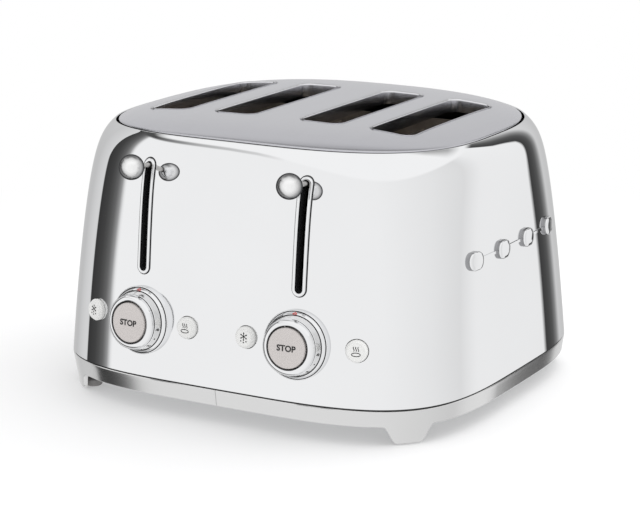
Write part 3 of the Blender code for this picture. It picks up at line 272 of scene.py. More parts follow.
def closed_mesh(name, bm, smooth_angle=35):
    """A mesh whose doubles are merged and whose faces point outwards."""
    bmesh.ops.remove_doubles(bm, verts=bm.verts, dist=MERGE_DISTANCE)
    bmesh.ops.recalc_face_normals(bm, faces=bm.faces)
    mesh = plain_mesh(name, bm)
    mesh.shade_smooth()
    mesh.set_sharp_from_angle(angle=radians(smooth_angle))
    return mesh


def place(name, data, looks=()):
    """A new object at the origin with these finishes, by name."""
    item = bpy.data.objects.new(name, data)
    bpy.context.scene.collection.objects.link(item)
    for look in looks:
        data.materials.append(LOOKS[look])
    return item


def finished(item, body, slot, *nodes):
    """The piece stands for these nodes, which are hidden, and rides on its body; the slot is not used."""
    if nodes:
        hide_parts(*nodes)
    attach(item, body)
    return item


def add_piece(name, bm, looks, body, slot, *nodes, smooth_angle=35):
    """Close the mesh and make it a finished piece."""
    return finished(place(name, closed_mesh(name, bm, smooth_angle), looks), body, slot, *nodes)


def add_loop_strip(bm, rings, closed_ring=True, closed_path=True, face_look=None):
    """Quads between rings of points; face_look gives each strip's material."""
    rows = [[bm.verts.new(point) for point in ring] for ring in rings]
    count = len(rows[0])
    pairs = zip(rows, rows[1:] + rows[:1]) if closed_path else zip(rows, rows[1:])
    for strip, (lower, upper) in enumerate(pairs):
        for step in range(count if closed_ring else count - 1):
            after = (step + 1) % count
            face = bm.faces.new((lower[step], lower[after], upper[after], upper[step]))
            face.material_index = face_look[strip] if face_look else 0
    return rows


def add_loft(bm, rings, face_look=None):
    """Quads between rings of points, with a face over each end."""
    rows = add_loop_strip(bm, rings, True, False, face_look)
    bm.faces.new(rows[0][::-1])
    bm.faces.new(rows[-1])


def lathe(bm, profile, steps, at=Matrix.Identity(4), look=None):
    """Turn a profile of (radius, height) about Z; a radius of 0 at an end closes it there."""
    body = [point for point in profile if point[0] > 0]
    open_ends = profile[0][0] == 0 or profile[-1][0] == 0
    rings = [[at @ Vector((radius * cos(tau * step / steps), radius * sin(tau * step / steps), height))
              for step in range(steps)] for radius, height in body]
    rows = add_loop_strip(bm, rings, True, not open_ends, look)
    for row, end in ((rows[0], profile[0]), (rows[-1], profile[-1])):
        if open_ends and end[0] == 0:
            apex = bm.verts.new(at @ Vector((0, 0, end[1])))
            for step in range(steps):
                face = bm.faces.new((row[step], row[(step + 1) % steps], apex))
                face.material_index = look[0 if row is rows[0] else -1] if look else 0


def arc(centre, radius, start, end, steps):
    """Points of (radius, height) along an arc in degrees."""
    return [(centre[0] + radius * cos(radians(start + (end - start) * step / steps)),
             centre[1] + radius * sin(radians(start + (end - start) * step / steps)))
            for step in range(steps + 1)]


def add_tube(bm, points, radius, sides=12):
    """A round wire through points, closed at both ends."""
    rings = []
    across = Vector((1, 0, 0))
    for index, point in enumerate(points):
        ahead = points[min(index + 1, len(points) - 1)] - points[max(index - 1, 0)]
        ahead.normalize()
        across = (across - ahead * across.dot(ahead)).normalized()
        up = ahead.cross(across)
        rings.append([point + (across * cos(tau * side / sides) + up * sin(tau * side / sides)) * radius
                      for side in range(sides)])
    add_loft(bm, rings)


def add_prism(bm, outline, low, high, at=Matrix.Identity(4)):
    """A flat outline run from low to high along its own Z."""
    add_loft(bm, [[at @ Vector((x, y, z)) for x, y in outline] for z in (low, high)])


def add_box(bm, low, high, edge=0.0, at=Matrix.Identity(4)):
    """A box with its upright edges rounded when an edge radius is given."""
    centre = ((low[0] + high[0]) / 2, (low[1] + high[1]) / 2)
    half = ((high[0] - low[0]) / 2, (high[1] - low[1]) / 2)
    outline = (rounded_outline(*half, edge, 4) if edge else
               [(-half[0], -half[1]), (half[0], -half[1]), (half[0], half[1]), (-half[0], half[1])])
    add_prism(bm, [(x + centre[0], y + centre[1]) for x, y in outline], low[2], high[2], at)


def evaluated_mesh(item):
    """The object's evaluated form as a plain mesh."""
    bpy.context.view_layer.update()
    graph = bpy.context.evaluated_depsgraph_get()
    return bpy.data.meshes.new_from_object(item.evaluated_get(graph))


def cut(item, cutter_bm):
    """Take the cutters away from the piece, and leave it a plain mesh."""
    bmesh.ops.recalc_face_normals(cutter_bm, faces=cutter_bm.faces)
    cutter = place("cutter", plain_mesh("cutter", cutter_bm))
    boolean = item.modifiers.new("cut", "BOOLEAN")
    boolean.operation = "DIFFERENCE"
    boolean.solver = "EXACT"
    boolean.object = cutter
    mesh = evaluated_mesh(item)
    item.modifiers.clear()
    item.data = mesh
    bpy.data.objects.remove(cutter, do_unlink=True)


def text_mesh(words, size, depth, weight=0.0):
    """Upright letters centred on the origin in the XY plane, as a closed mesh."""
    curve = bpy.data.curves.new("letters", "FONT")
    curve.body = words
    curve.size = size
    curve.extrude = depth / 2
    curve.offset = weight
    curve.align_x = "CENTER"
    curve.align_y = "CENTER"
    curve.resolution_u = 4
    item = place("letters", curve)
    mesh = evaluated_mesh(item)
    bpy.data.objects.remove(item, do_unlink=True)
    return mesh


def control_axes(outward):
    """Axes with Z along this direction and X level."""
    across = Vector((0, 0, 1)).cross(outward).normalized()
    return Matrix((across, outward.cross(across), outward)).transposed()


def control_frame(node, joint):
    """A frame on a control's axis, with its Z outwards and its origin at the control's front."""
    outward = -Vector(JOINTS[joint]["axis"])
    corners = [vertex.co for vertex in frame["nodes"][node].data.vertices]
    middle = sum(corners, Vector()) / len(corners)
    front = max(corner.dot(outward) for corner in corners)
    origin = middle + outward * (front - middle.dot(outward))
    return Matrix.Translation(origin) @ control_axes(outward).to_4x4()


def dial_frame(side_name):
    """A frame on a dial's axis, with its Z outwards and its origin on the shell."""
    joint = JOINTS[f"dial_{side_name}_turn"]
    axes = control_axes(-Vector(joint["axis"])).to_4x4()
    return Matrix.Translation(Vector(joint["pos_m"])) @ axes


# ---------------------------------------------------------------- materials

def new_material(name, colour, roughness, metallic):
    """A material with its node tree and its shader."""
    material = bpy.data.materials.new(name)
    material.use_nodes = True
    shader = material.node_tree.nodes["Principled BSDF"]
    shader.inputs["Base Color"].default_value = (*colour, 1)
    shader.inputs["Roughness"].default_value = roughness
    shader.inputs["Metallic"].default_value = metallic
    return material, material.node_tree, shader


def add_node(tree, kind, **values):
    """A new node; each value goes to the input or the setting of that name."""
    node = tree.nodes.new(kind)
    for key, value in values.items():
        if key in node.inputs:
            node.inputs[key].default_value = value
        else:
            setattr(node, key, value)
    return node


def object_pattern(tree, scale):
    """Object coordinates stretched by a scale."""
    where = add_node(tree, "ShaderNodeTexCoord")
    mapping = add_node(tree, "ShaderNodeMapping")
    mapping.inputs["Scale"].default_value = scale
    tree.links.new(where.outputs["Object"], mapping.inputs["Vector"])
    return mapping.outputs["Vector"]


def noise(tree, vector, scale, detail=3.0):
    """A soft random pattern from 0 to 1."""
    node = add_node(tree, "ShaderNodeTexNoise", Scale=scale, Detail=detail)
    tree.links.new(vector, node.inputs["Vector"])
    return node.outputs["Fac"]


def ranged(tree, value, low, high, start=0.0, end=1.0, smooth=False):
    """Map a value that runs from start to end on to low to high."""
    kind = "SMOOTHSTEP" if smooth else "LINEAR"
    node = add_node(tree, "ShaderNodeMapRange", interpolation_type=kind)
    for label, number in (("From Min", start), ("From Max", end), ("To Min", low), ("To Max", high)):
        node.inputs[label].default_value = number
    tree.links.new(value, node.inputs["Value"])
    return node.outputs["Result"]


def tinted(tree, value, colour, dark, light):
    """The colour made darker and lighter by a pattern."""
    ramp = add_node(tree, "ShaderNodeValToRGB")
    ramp.color_ramp.elements[0].position = 0.3
    ramp.color_ramp.elements[1].position = 0.7
    ramp.color_ramp.elements[0].color = (*(part * dark for part in colour), 1)
    ramp.color_ramp.elements[1].color = (*(min(1.0, part * light) for part in colour), 1)
    tree.links.new(value, ramp.inputs["Fac"])
    return ramp.outputs["Color"]


def bumped(tree, shader, value, strength, distance=0.0002):
    """Let a pattern raise the surface."""
    bump = add_node(tree, "ShaderNodeBump")
    bump.inputs["Strength"].default_value = strength
    bump.inputs["Distance"].default_value = distance
    tree.links.new(value, bump.inputs["Height"])
    tree.links.new(bump.outputs["Normal"], shader.inputs["Normal"])


def metal(name, colour, rough_low, rough_high, scale=(1, 1, 1), grain=60.0, bump=0.0, dark=0.97, light=1.02):
    """A metal whose grain changes its colour and roughness a little."""
    material, tree, shader = new_material(name, colour, rough_low, 1.0)
    pattern = noise(tree, object_pattern(tree, scale), grain)
    tree.links.new(tinted(tree, pattern, colour, dark, light), shader.inputs["Base Color"])
    tree.links.new(ranged(tree, pattern, rough_low, rough_high), shader.inputs["Roughness"])
    if bump:
        bumped(tree, shader, pattern, bump)
    return material


def plastic(name, colour, roughness, grain=900.0, bump=0.06, dark=0.93, light=1.05):
    """A moulded finish with a fine spark texture."""
    material, tree, shader = new_material(name, colour, roughness, 0.0)
    pattern = noise(tree, object_pattern(tree, (1, 1, 1)), grain, 2.0)
    cloud = noise(tree, object_pattern(tree, (1, 1, 1)), 40.0)
    tree.links.new(tinted(tree, cloud, colour, dark, light), shader.inputs["Base Color"])
    tree.links.new(ranged(tree, cloud, roughness * 0.85, roughness * 1.15), shader.inputs["Roughness"])
    bumped(tree, shader, pattern, bump, 0.00005)
    return material


def make_materials(colours):
    """Every finish on the toaster, by name."""
    looks = {
        "chrome": metal("mirror_chrome", colours.chrome, 0.008, 0.022, grain=14.0, dark=0.985, light=1.0),
        "inner": metal("raw_inner_sheet", (0.16, 0.155, 0.15), 0.40, 0.60, grain=30.0, dark=0.7, light=1.2),
        "ball": metal("satin_chrome_painted_rim", (0.84, 0.84, 0.85), 0.22, 0.28, grain=60.0, dark=0.97, light=1.0),
        "plate": metal("satin_top_plate", colours.plate, 0.25, 0.28, (1, 0.03, 1), 120.0, 0.0, 0.985, 1.01),
        "stud_edge": metal("stud_edge", (0.40, 0.40, 0.41), 0.18, 0.25, grain=80.0),
        "lip": metal("rolled_lip", (0.80, 0.80, 0.82), 0.12, 0.22, (1, 0.1, 1), 300.0),
        "trim": metal("silver_trim_paint", colours.trim, 0.13, 0.17, (1, 1, 1), 1200.0, 0.0, 0.985, 1.01),
        "galvanised": metal("zinc_plated_sheet", (0.55, 0.56, 0.57), 0.30, 0.50, grain=70.0, bump=0.05,
                            dark=0.8, light=1.1),
        "soot": metal("heat_tinted_steel", (0.52, 0.47, 0.43), 0.28, 0.45, grain=50.0, bump=0.05,
                      dark=0.6, light=1.25),
        "wire": metal("drawn_wire", (0.52, 0.51, 0.50), 0.22, 0.34, (1, 1, 0.1), 500.0, 0.03, 0.9, 1.1),
        "winding": metal("oxidised_ribbon", (0.24, 0.20, 0.17), 0.35, 0.5, grain=200.0, dark=0.7, light=1.3),
        "copper": metal("enamelled_copper", (0.55, 0.24, 0.11), 0.22, 0.35, (1, 1, 20), 90.0, 0.2, 0.7, 1.15),
        "mica": plastic("pressed_mica", (0.42, 0.36, 0.28), 0.45, 300.0, 0.2, 0.75, 1.2),
        "black": plastic("black_moulding", (0.018, 0.018, 0.019), 0.42),
        "rubber": plastic("foot_rubber", (0.30, 0.29, 0.285), 0.75, 600.0, 0.2, 0.9, 1.1),
        "cap": plastic("warm_grey_cap", colours.cap, 0.33, 1400.0, 0.05, 0.98, 1.02),
        "button": plastic("pale_button", colours.button, 0.30, 1400.0, 0.04, 0.98, 1.02),
        "board": plastic("board_green", (0.03, 0.13, 0.06), 0.35, 500.0, 0.15, 0.8, 1.2),
        "ink": plastic("black_print", (0.012, 0.012, 0.012), 0.5, 1500.0, 0.02, 0.9, 1.1),
        "red": plastic("red_print", colours.pointer, 0.45, 1500.0, 0.02, 0.95, 1.05),
        "silver_face": metal("dial_face", (0.86, 0.86, 0.86), 0.10, 0.18, grain=200.0, dark=0.98, light=1.0),
    }
    # The lever balls' colour is a painted reflection: near white where they face the camera and dark grey
    # towards their rims, as if a dark room stood round them
    tree = looks["ball"].node_tree
    glance = add_node(tree, "ShaderNodeLayerWeight", Blend=0.5)
    painted_dark_rim = add_node(tree, "ShaderNodeValToRGB")
    painted_dark_rim.color_ramp.elements[0].position, painted_dark_rim.color_ramp.elements[1].position = 0.08, 0.60
    painted_dark_rim.color_ramp.elements[0].color = (0.98, 0.98, 0.98, 1)
    painted_dark_rim.color_ramp.elements[1].color = (0.15, 0.15, 0.155, 1)
    tree.links.new(glance.outputs["Facing"], painted_dark_rim.inputs["Fac"])
    tree.links.new(painted_dark_rim.outputs["Color"], tree.nodes["Principled BSDF"].inputs["Base Color"])
    for name, tint in (("ball", 0.3), ("chrome", 0.75), ("lip", 0.6)):
        shader = looks[name].node_tree.nodes["Principled BSDF"]
        shader.inputs["Specular Tint"].default_value = (tint, tint, tint, 1)
    return looks


LOOKS = {}


# ---------------------------------------------------------------- geometry node trees

def node_tree(name, sockets):
    """A new geometry tree with named inputs; sockets are (name, type, default)."""
    tree = bpy.data.node_groups.new(name, "GeometryNodeTree")
    tree.interface.new_socket(name="Geometry", in_out="INPUT", socket_type="NodeSocketGeometry")
    for label, kind, default in sockets:
        socket = tree.interface.new_socket(name=label, in_out="INPUT", socket_type=kind)
        if default is not None:
            socket.default_value = default
    tree.interface.new_socket(name="Geometry", in_out="OUTPUT", socket_type="NodeSocketGeometry")
    return tree, tree.nodes.new("NodeGroupInput"), tree.nodes.new("NodeGroupOutput")


def finish_tree(tree, entry, exit_node, shape):
    """Realize the instances, set the material and hand the geometry out."""
    realize = tree.nodes.new("GeometryNodeRealizeInstances")
    paint = tree.nodes.new("GeometryNodeSetMaterial")
    tree.links.new(shape, realize.inputs["Geometry"])
    tree.links.new(realize.outputs["Geometry"], paint.inputs["Geometry"])
    tree.links.new(entry.outputs["Material"], paint.inputs["Material"])
    tree.links.new(paint.outputs["Geometry"], exit_node.inputs["Geometry"])


def bar_row_tree():
    """A row of round bars: count, first centre, step, turn, length and radius."""
    tree, entry, exit_node = node_tree("row_of_bars", (
        ("Count", "NodeSocketInt", 5), ("Start", "NodeSocketVector", (0, 0, 0)),
        ("Step", "NodeSocketVector", (0.01, 0, 0)), ("Turn", "NodeSocketVector", (0, 0, 0)),
        ("Length", "NodeSocketFloat", 0.1), ("Radius", "NodeSocketFloat", 0.001),
        ("Sides", "NodeSocketInt", 8),
        ("Material", "NodeSocketMaterial", None)))
    line = tree.nodes.new("GeometryNodeMeshLine")
    line.mode = "OFFSET"
    bar = tree.nodes.new("GeometryNodeMeshCylinder")
    bar.fill_type = "NGON"
    put = tree.nodes.new("GeometryNodeInstanceOnPoints")
    for source, node, socket in (("Count", line, "Count"), ("Start", line, "Start Location"),
                                 ("Step", line, "Offset"), ("Length", bar, "Depth"),
                                 ("Radius", bar, "Radius"), ("Sides", bar, "Vertices"),
                                 ("Turn", put, "Rotation")):
        tree.links.new(entry.outputs[source], node.inputs[socket])
    tree.links.new(line.outputs["Mesh"], put.inputs["Points"])
    tree.links.new(bar.outputs["Mesh"], put.inputs["Instance"])
    finish_tree(tree, entry, exit_node, put.outputs["Instances"])
    return tree


def coil_tree():
    """A coil spring that stands on the XY plane: turns, radius, height and wire radius."""
    tree, entry, exit_node = node_tree("coil", (
        ("Turns", "NodeSocketFloat", 7.0), ("Radius", "NodeSocketFloat", 0.005),
        ("Height", "NodeSocketFloat", 0.1), ("Wire", "NodeSocketFloat", 0.0006),
        ("Place", "NodeSocketVector", (0, 0, 0)), ("Material", "NodeSocketMaterial", None)))
    coil = tree.nodes.new("GeometryNodeCurveSpiral")
    coil.inputs["Resolution"].default_value = 28
    ring = tree.nodes.new("GeometryNodeCurvePrimitiveCircle")
    ring.inputs["Resolution"].default_value = 8
    sweep = tree.nodes.new("GeometryNodeCurveToMesh")
    sweep.inputs["Fill Caps"].default_value = True
    move = tree.nodes.new("GeometryNodeTransform")
    for source, node, socket in (("Turns", coil, "Rotations"), ("Radius", coil, "Start Radius"),
                                 ("Radius", coil, "End Radius"), ("Height", coil, "Height"),
                                 ("Wire", ring, "Radius"), ("Place", move, "Translation")):
        tree.links.new(entry.outputs[source], node.inputs[socket])
    tree.links.new(coil.outputs["Curve"], sweep.inputs["Curve"])
    tree.links.new(ring.outputs["Curve"], sweep.inputs["Profile Curve"])
    tree.links.new(sweep.outputs["Mesh"], move.inputs["Geometry"])
    finish_tree(tree, entry, exit_node, move.outputs["Geometry"])
    return tree


def screw_tree():
    """A screw head on each vertex of the host mesh."""
    tree, entry, exit_node = node_tree("screws", (
        ("Head", "NodeSocketObject", None), ("Turn", "NodeSocketVector", (0, 0, 0)),
        ("Material", "NodeSocketMaterial", None)))
    head = tree.nodes.new("GeometryNodeObjectInfo")
    put = tree.nodes.new("GeometryNodeInstanceOnPoints")
    tree.links.new(entry.outputs["Geometry"], put.inputs["Points"])
    tree.links.new(entry.outputs["Head"], head.inputs["Object"])
    tree.links.new(head.outputs["Geometry"], put.inputs["Instance"])
    tree.links.new(entry.outputs["Turn"], put.inputs["Rotation"])
    finish_tree(tree, entry, exit_node, put.outputs["Instances"])
    return tree


def generate(name, tree, look, host=None, **inputs):
    """Run a tree on a new object and return its result as a plain mesh."""
    item = place(name, host or bpy.data.meshes.new(name))
    modifier = item.modifiers.new("pattern", "NODES")
    modifier.node_group = tree
    inputs["Material"] = LOOKS[look]
    for socket in tree.interface.items_tree:
        if socket.item_type == "SOCKET" and socket.in_out == "INPUT" and socket.name in inputs:
            modifier[socket.identifier] = inputs[socket.name]
    mesh = evaluated_mesh(item)
    bpy.data.objects.remove(item, do_unlink=True)
    return mesh


def joined(meshes):
    """Several plain meshes in one, with one finish."""
    bm = bmesh.new()
    for mesh in meshes:
        bm.from_mesh(mesh)
    for face in bm.faces:
        face.material_index = 0
    return bm


# ---------------------------------------------------------------- shell and top

def plan_ring(half_x, half_y, power, columns, height):
    """Points round a squared ellipse of the plan; height gives z over each spot."""
    spots = [outline_point(half_x, half_y, power, tau * step / columns) for step in range(columns)]
    return [Vector((x, y + CENTRE_Y, height(x, y))) for x, y in spots]


def shell_ring(level, columns):
    """Points round the shell at a level from 0 up to 1."""
    return plan_ring(*section(level), columns, lambda x, y: SEAM_HEIGHT + level * shell_height(x))


def slit_loop(margin, steps=12):
    """Round-ended outline of the lever's slit as (offset, height), grown by a margin."""
    half_x, half_z = SLIT_HALF_WIDTH + margin, (SLIT_HIGH - SLIT_LOW) / 2 + margin
    middle = (SLIT_HIGH + SLIT_LOW) / 2
    return [(x, z + middle) for x, z in even_outline(half_x, half_z, half_x * ROUND_END, 0.004, steps)]


def add_bore(bm, radius, reach, depth, at, steps=48):
    """A round cutter along a frame's Z, from this depth inside to this reach outside."""
    lathe(bm, ((0, reach), (radius, reach), (radius, -depth), (0, -depth)), steps, at)


def shell_cutters():
    """Slits, dial and button holes, and the hole for the cord's gland."""
    bm = bmesh.new()
    front = HALF_DEPTH - CENTRE_Y + 0.01
    for side_name, side in SIDES:
        outline = [(x + side * PAIR_X, z) for x, z in slit_loop(SLIT_CLEARANCE)]
        add_prism(bm, outline, front - 0.06, front, Matrix.Rotation(pi / 2, 4, "X"))
        add_bore(bm, DIAL_HOLE, 0.02, 0.02, dial_frame(side_name))
        for kind in BUTTONS:
            at = control_frame(f"{kind}_button_{side_name}", f"{kind}_{side_name}_press")
            add_bore(bm, BUTTON_HOLE, 0.012, 0.016, at)
    low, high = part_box("cord_gland")
    middle = (low + high) / 2
    at = Matrix.Translation((0, middle.y, middle.z)) @ Matrix.Rotation(pi / 2, 4, "X")
    add_bore(bm, GLAND_HOLE, 0.02, 0.02, at, 32)
    return bm


def follow_form(mesh):
    """Shade the shell by its true form, so that its cuts don't disturb the reflections."""
    normals = []
    for polygon in mesh.polygons:
        for index in polygon.loop_indices:
            true = form_normal(mesh.vertices[mesh.loops[index].vertex_index].co)
            agree = polygon.normal.dot(true)
            normals.append(true * copysign(1, agree) if abs(agree) > 0.97 else Vector())
    mesh.normals_split_custom_set(normals)


class TOASTER_OT_body_shell(Operator):
    """Mirror shell with its slits and holes"""
    bl_idname = "toaster.body_shell"
    bl_label = "Body shell"

    def execute(self, context):
        sizes = context.scene.toaster_sizes
        wall = sizes.wall
        tall, relief, low_gap = TOP_SEAM_HEIGHT - SEAM_HEIGHT, 0.0008, 0.0003
        bottom, top = low_gap / tall, 1 - (wall / 2 + relief) / tall
        # The rows crowd towards the top, where the shell turns in most
        levels = [bottom + (top - bottom) * (1 - (1 - row / sizes.rows) ** 1.5)
                  for row in range(sizes.rows + 1)]
        outer = [shell_ring(level, sizes.columns) for level in levels]
        inner = [[point - form_normal(point) * wall for point in ring] for ring in outer]
        rim = [[(start + end) / 2 + (start - end) / 2 * cos(radians(turn))
                + (start - before).normalized() * wall / 2 * sin(radians(turn))
                for start, end, before in zip(outer[-1], inner[-1], outer[-2])] for turn in (45, 90, 135)]
        bm = bmesh.new()
        add_loop_strip(bm, outer + rim + inner[::-1], True, True,
                       [0] * (len(outer) + 2) + [1] * (len(inner) + 1))
        shell = place("body_shell_skin", closed_mesh("body_shell_skin", bm, 50), ("chrome", "inner"))
        cut(shell, shell_cutters())
        follow_form(shell.data)
        finished(shell, "root", "mirror_chrome", "body_shell")
        return {"FINISHED"}


def plate_ring(spread, inset, drop, columns):
    """Points round the crowned top, at a share of its plan or inside its edge."""
    half_x, half_y, power = section(1.0)
    half_x, half_y = half_x - SEAM_GAP - inset, half_y - SEAM_GAP - inset
    return plan_ring(half_x * spread, half_y * spread, power, columns,
                     lambda x, y: dome_height(x, y) - drop)


class TOASTER_OT_top_plate(Operator):
    """Satin top plate with four slots and their rolled lips"""
    bl_idname = "toaster.top_plate"
    bl_label = "Top plate"

    def execute(self, context):
        sizes = context.scene.toaster_sizes
        roll, columns, steps, wall, edge = sizes.lip_roll, 240, 44, 0.0010, 0.0009
        spreads = [step / steps for step in range(1, steps)]
        rings = [plate_ring(spread, 0, 0, columns) for spread in spreads]
        rings += [plate_ring(1.0, edge * (1 - sin(radians(turn))), edge * (1 - cos(radians(turn))), columns)
                  for turn in (0, 30, 60, 90)]
        rings += [plate_ring(1.0, inset, drop, columns) for inset, drop in
                  ((0.0004, 0.0016), (0.0030, 0.0030), (0.0036, 0.0026), (0.0016, 0.0016))]
        rings += [plate_ring(spread, 0.0, wall, columns) for spread in reversed(spreads[:-1])]
        visible = len(spreads) + 3
        bm = bmesh.new()
        rows = add_loop_strip(bm, rings, True, False, [int(strip >= visible) for strip in range(len(rings))])
        for row, height in ((rows[0], 0), (rows[-1], -wall)):
            apex = bm.verts.new((0, CENTRE_Y, PLATE_HIGH.z + height))
            for step in range(columns):
                bm.faces.new((row[step], row[(step + 1) % columns], apex))
        plate = place("top_plate_skin", closed_mesh("top_plate_skin", bm, 40), ("plate", "black"))
        cutters, grown = bmesh.new(), roll + 0.0002
        for x in SLOT_CENTRES:
            outline = rounded_outline(*(half + grown for half in SLOT_PLAN), 12)
            add_prism(cutters, outline, PLATE_LOW.z, PLATE_HIGH.z + 0.01,
                      Matrix.Translation((x, CENTRE_Y + SLOT_SETBACK, 0)))
        cut(plate, cutters)
        finished(plate, "root", "satin_steel", "top_plate")
        bm = bmesh.new()
        for x in SLOT_CENTRES:
            self.add_lip(bm, x, roll)
        add_piece("slot_lips", bm, ("lip",), "root", "satin_steel")
        return {"FINISHED"}

    def add_lip(self, bm, x, roll):
        """A flange that rolls over from the plate and runs down inside the slot."""
        depth, wall, proud = 0.0095, 0.0007, 0.0005
        profile = [(roll * (1 - sin(radians(turn))), proud - roll * (1 - cos(radians(turn))))
                   for turn in range(0, 91, 15)]
        profile += [(0, -depth), (wall, -depth), (wall, -roll - wall), (roll, -wall - 0.0004)]
        rings = []
        for out, drop in profile:
            outline = even_outline(*(half + out for half in SLOT_PLAN), 0.006, 12)
            rings.append([Vector((x + px, CENTRE_Y + SLOT_SETBACK + py,
                                  dome_height(x + px, SLOT_SETBACK + py) + drop)) for px, py in outline])
        add_loop_strip(bm, rings)


class TOASTER_OT_side_badge(Operator):
    """Row of four plain studs on the right side"""
    bl_idname = "toaster.side_badge"
    bl_label = "Side studs"

    half_width, proud = 0.0085, 0.0030

    def execute(self, context):
        low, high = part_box("side_badge")
        height, half_height = (low.z + high.z) / 2, (high.z - low.z) / 2
        first, reach = low.y + self.half_width, high.y - low.y - 2 * self.half_width
        bm = bmesh.new()
        for number in range(4):
            rings = []
            for inset, rise in ((0, -0.0006), (0, self.proud - 0.0010), (0.0003, self.proud - 0.0004),
                                (0.0010, self.proud), (0.0030, self.proud + 0.0002)):
                half = half_height - inset
                outline = rounded_outline(self.half_width - inset, half, half * ROUND_END, 14)
                rings.append([self.side_point(first + reach * number / 3 + along, height + up, rise)
                              for along, up in outline])
            add_loft(bm, rings, (1, 0, 0, 0))
        strip = ((-0.0012, -0.0005), (0.0012, -0.0005), (0.0010, 0.0007), (-0.0010, 0.0007))
        add_loft(bm, [[self.side_point(first + reach * step / 48, height + up, rise) for up, rise in strip]
                      for step in range(49)])
        add_piece("side_studs", bm, ("chrome", "stud_edge"), "root", "mirror_chrome", "side_badge",
                  smooth_angle=40)
        return {"FINISHED"}

    def side_point(self, y, z, rise):
        """A spot this far off the right side of the shell."""
        spot = Vector((side_reach(y - CENTRE_Y, z), y, z))
        return spot + form_normal(spot) * rise


# ---------------------------------------------------------------- base

def trim_half_sizes(z):
    """Half width and half depth of the trim, which draws in below its shoulder."""
    inset = TRIM_FLARE * max(0.0, TRIM_SHOULDER - z) / (TRIM_SHOULDER - TRIM_EDGE)
    return HALF_WIDTH - inset, HALF_DEPTH - inset


def foot_drop(distance):
    """How far the trim's lower edge comes down, at a distance along it from a corner."""
    along = min(1.0, max(0.0, (abs(distance) - FOOT_FLAT) / FOOT_RAMP))
    return (TRIM_EDGE - TRIM_LOW.z) * (1 - along * along * (3 - 2 * along))


class TOASTER_OT_base_trims(Operator):
    """Silver base trim in two halves, with a foot at each corner"""
    bl_idname = "toaster.base_trims"
    bl_label = "Base trim"

    def execute(self, context):
        for side_name, side in SIDES:
            name = f"base_trim_{side_name}"
            trim = place(f"{name}_skin", self.half_ring(name, side), ("trim",))
            low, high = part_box(f"crumb_tray_{side_name}")
            cutters, gap = bmesh.new(), 0.0005
            add_box(cutters, (low.x - gap, high.y - 0.016, low.z - gap),
                    (high.x + gap, high.y + 0.02, high.z + gap))
            cut(trim, cutters)
            finished(trim, "root", "silver_trim", name)
        self.make_gasket()
        return {"FINISHED"}

    def make_gasket(self):
        """Dark seal that shows in the seam between the trim and the shell."""
        rings = [plan_ring(HALF_WIDTH - inset, HALF_DEPTH - inset, CORNER_POWER, 240, lambda x, y: z)
                 for inset, z in ((0.0012, TRIM_HIGH.z - 0.0018), (0.0012, SEAM_HEIGHT + 0.0012),
                                  (0.0013, SEAM_HEIGHT + 0.0014), (0.0013, TRIM_HIGH.z - 0.0020))]
        bm = bmesh.new()
        add_loop_strip(bm, rings)
        add_piece("seam_seal", bm, ("black",), "root", "black_plastic")

    def half_ring(self, name, side):
        """One side's half of the trim, with its edge run down into two feet."""
        columns, wall, edge, half_split = 168, 0.0025, 0.0005, 0.00012
        top = TRIM_HIGH.z - edge
        half_x, half_y = trim_half_sizes(TRIM_EDGE)
        headings = [-pi / 2 + pi * step / columns for step in range(columns + 1)]
        flat = [Vector(outline_point(half_x, half_y, CORNER_POWER, heading)) for heading in headings]
        lengths = [0.0]
        for start, end in zip(flat, flat[1:]):
            lengths.append(lengths[-1] + (end - start).length)
        corners = (lengths[columns // 4], lengths[columns - columns // 4])
        profile = [(edge, 0.0, 0.0), (0.0, 0.0, edge)]
        profile += [(0.0, rise, 0.0) for rise in (0.12, 0.25, 0.4, 0.55, 0.7, 0.85)]
        profile += [(0.0, 1.0, -edge), (edge, 1.0, 0.0), (wall, 1.0, 0.0), (wall, 0.0, 0.0)]
        rings = []
        for inset, rise, shift in profile:
            ring = []
            for heading, length in zip(headings, lengths):
                bottom = TRIM_EDGE - max(foot_drop(length - corner) for corner in corners)
                z = bottom + (top - bottom) * rise + shift
                at_x, at_y = trim_half_sizes(z)
                x, y = outline_point(at_x - inset, at_y - inset, CORNER_POWER, heading)
                ring.append(Vector((side * max(x, half_split), y + CENTRE_Y, z)))
            rings.append(ring)
        bm = bmesh.new()
        rows = add_loop_strip(bm, rings, False, True)
        bm.faces.new([row[0] for row in rows])
        bm.faces.new([row[-1] for row in rows][::-1])
        return closed_mesh(name, bm, 38)


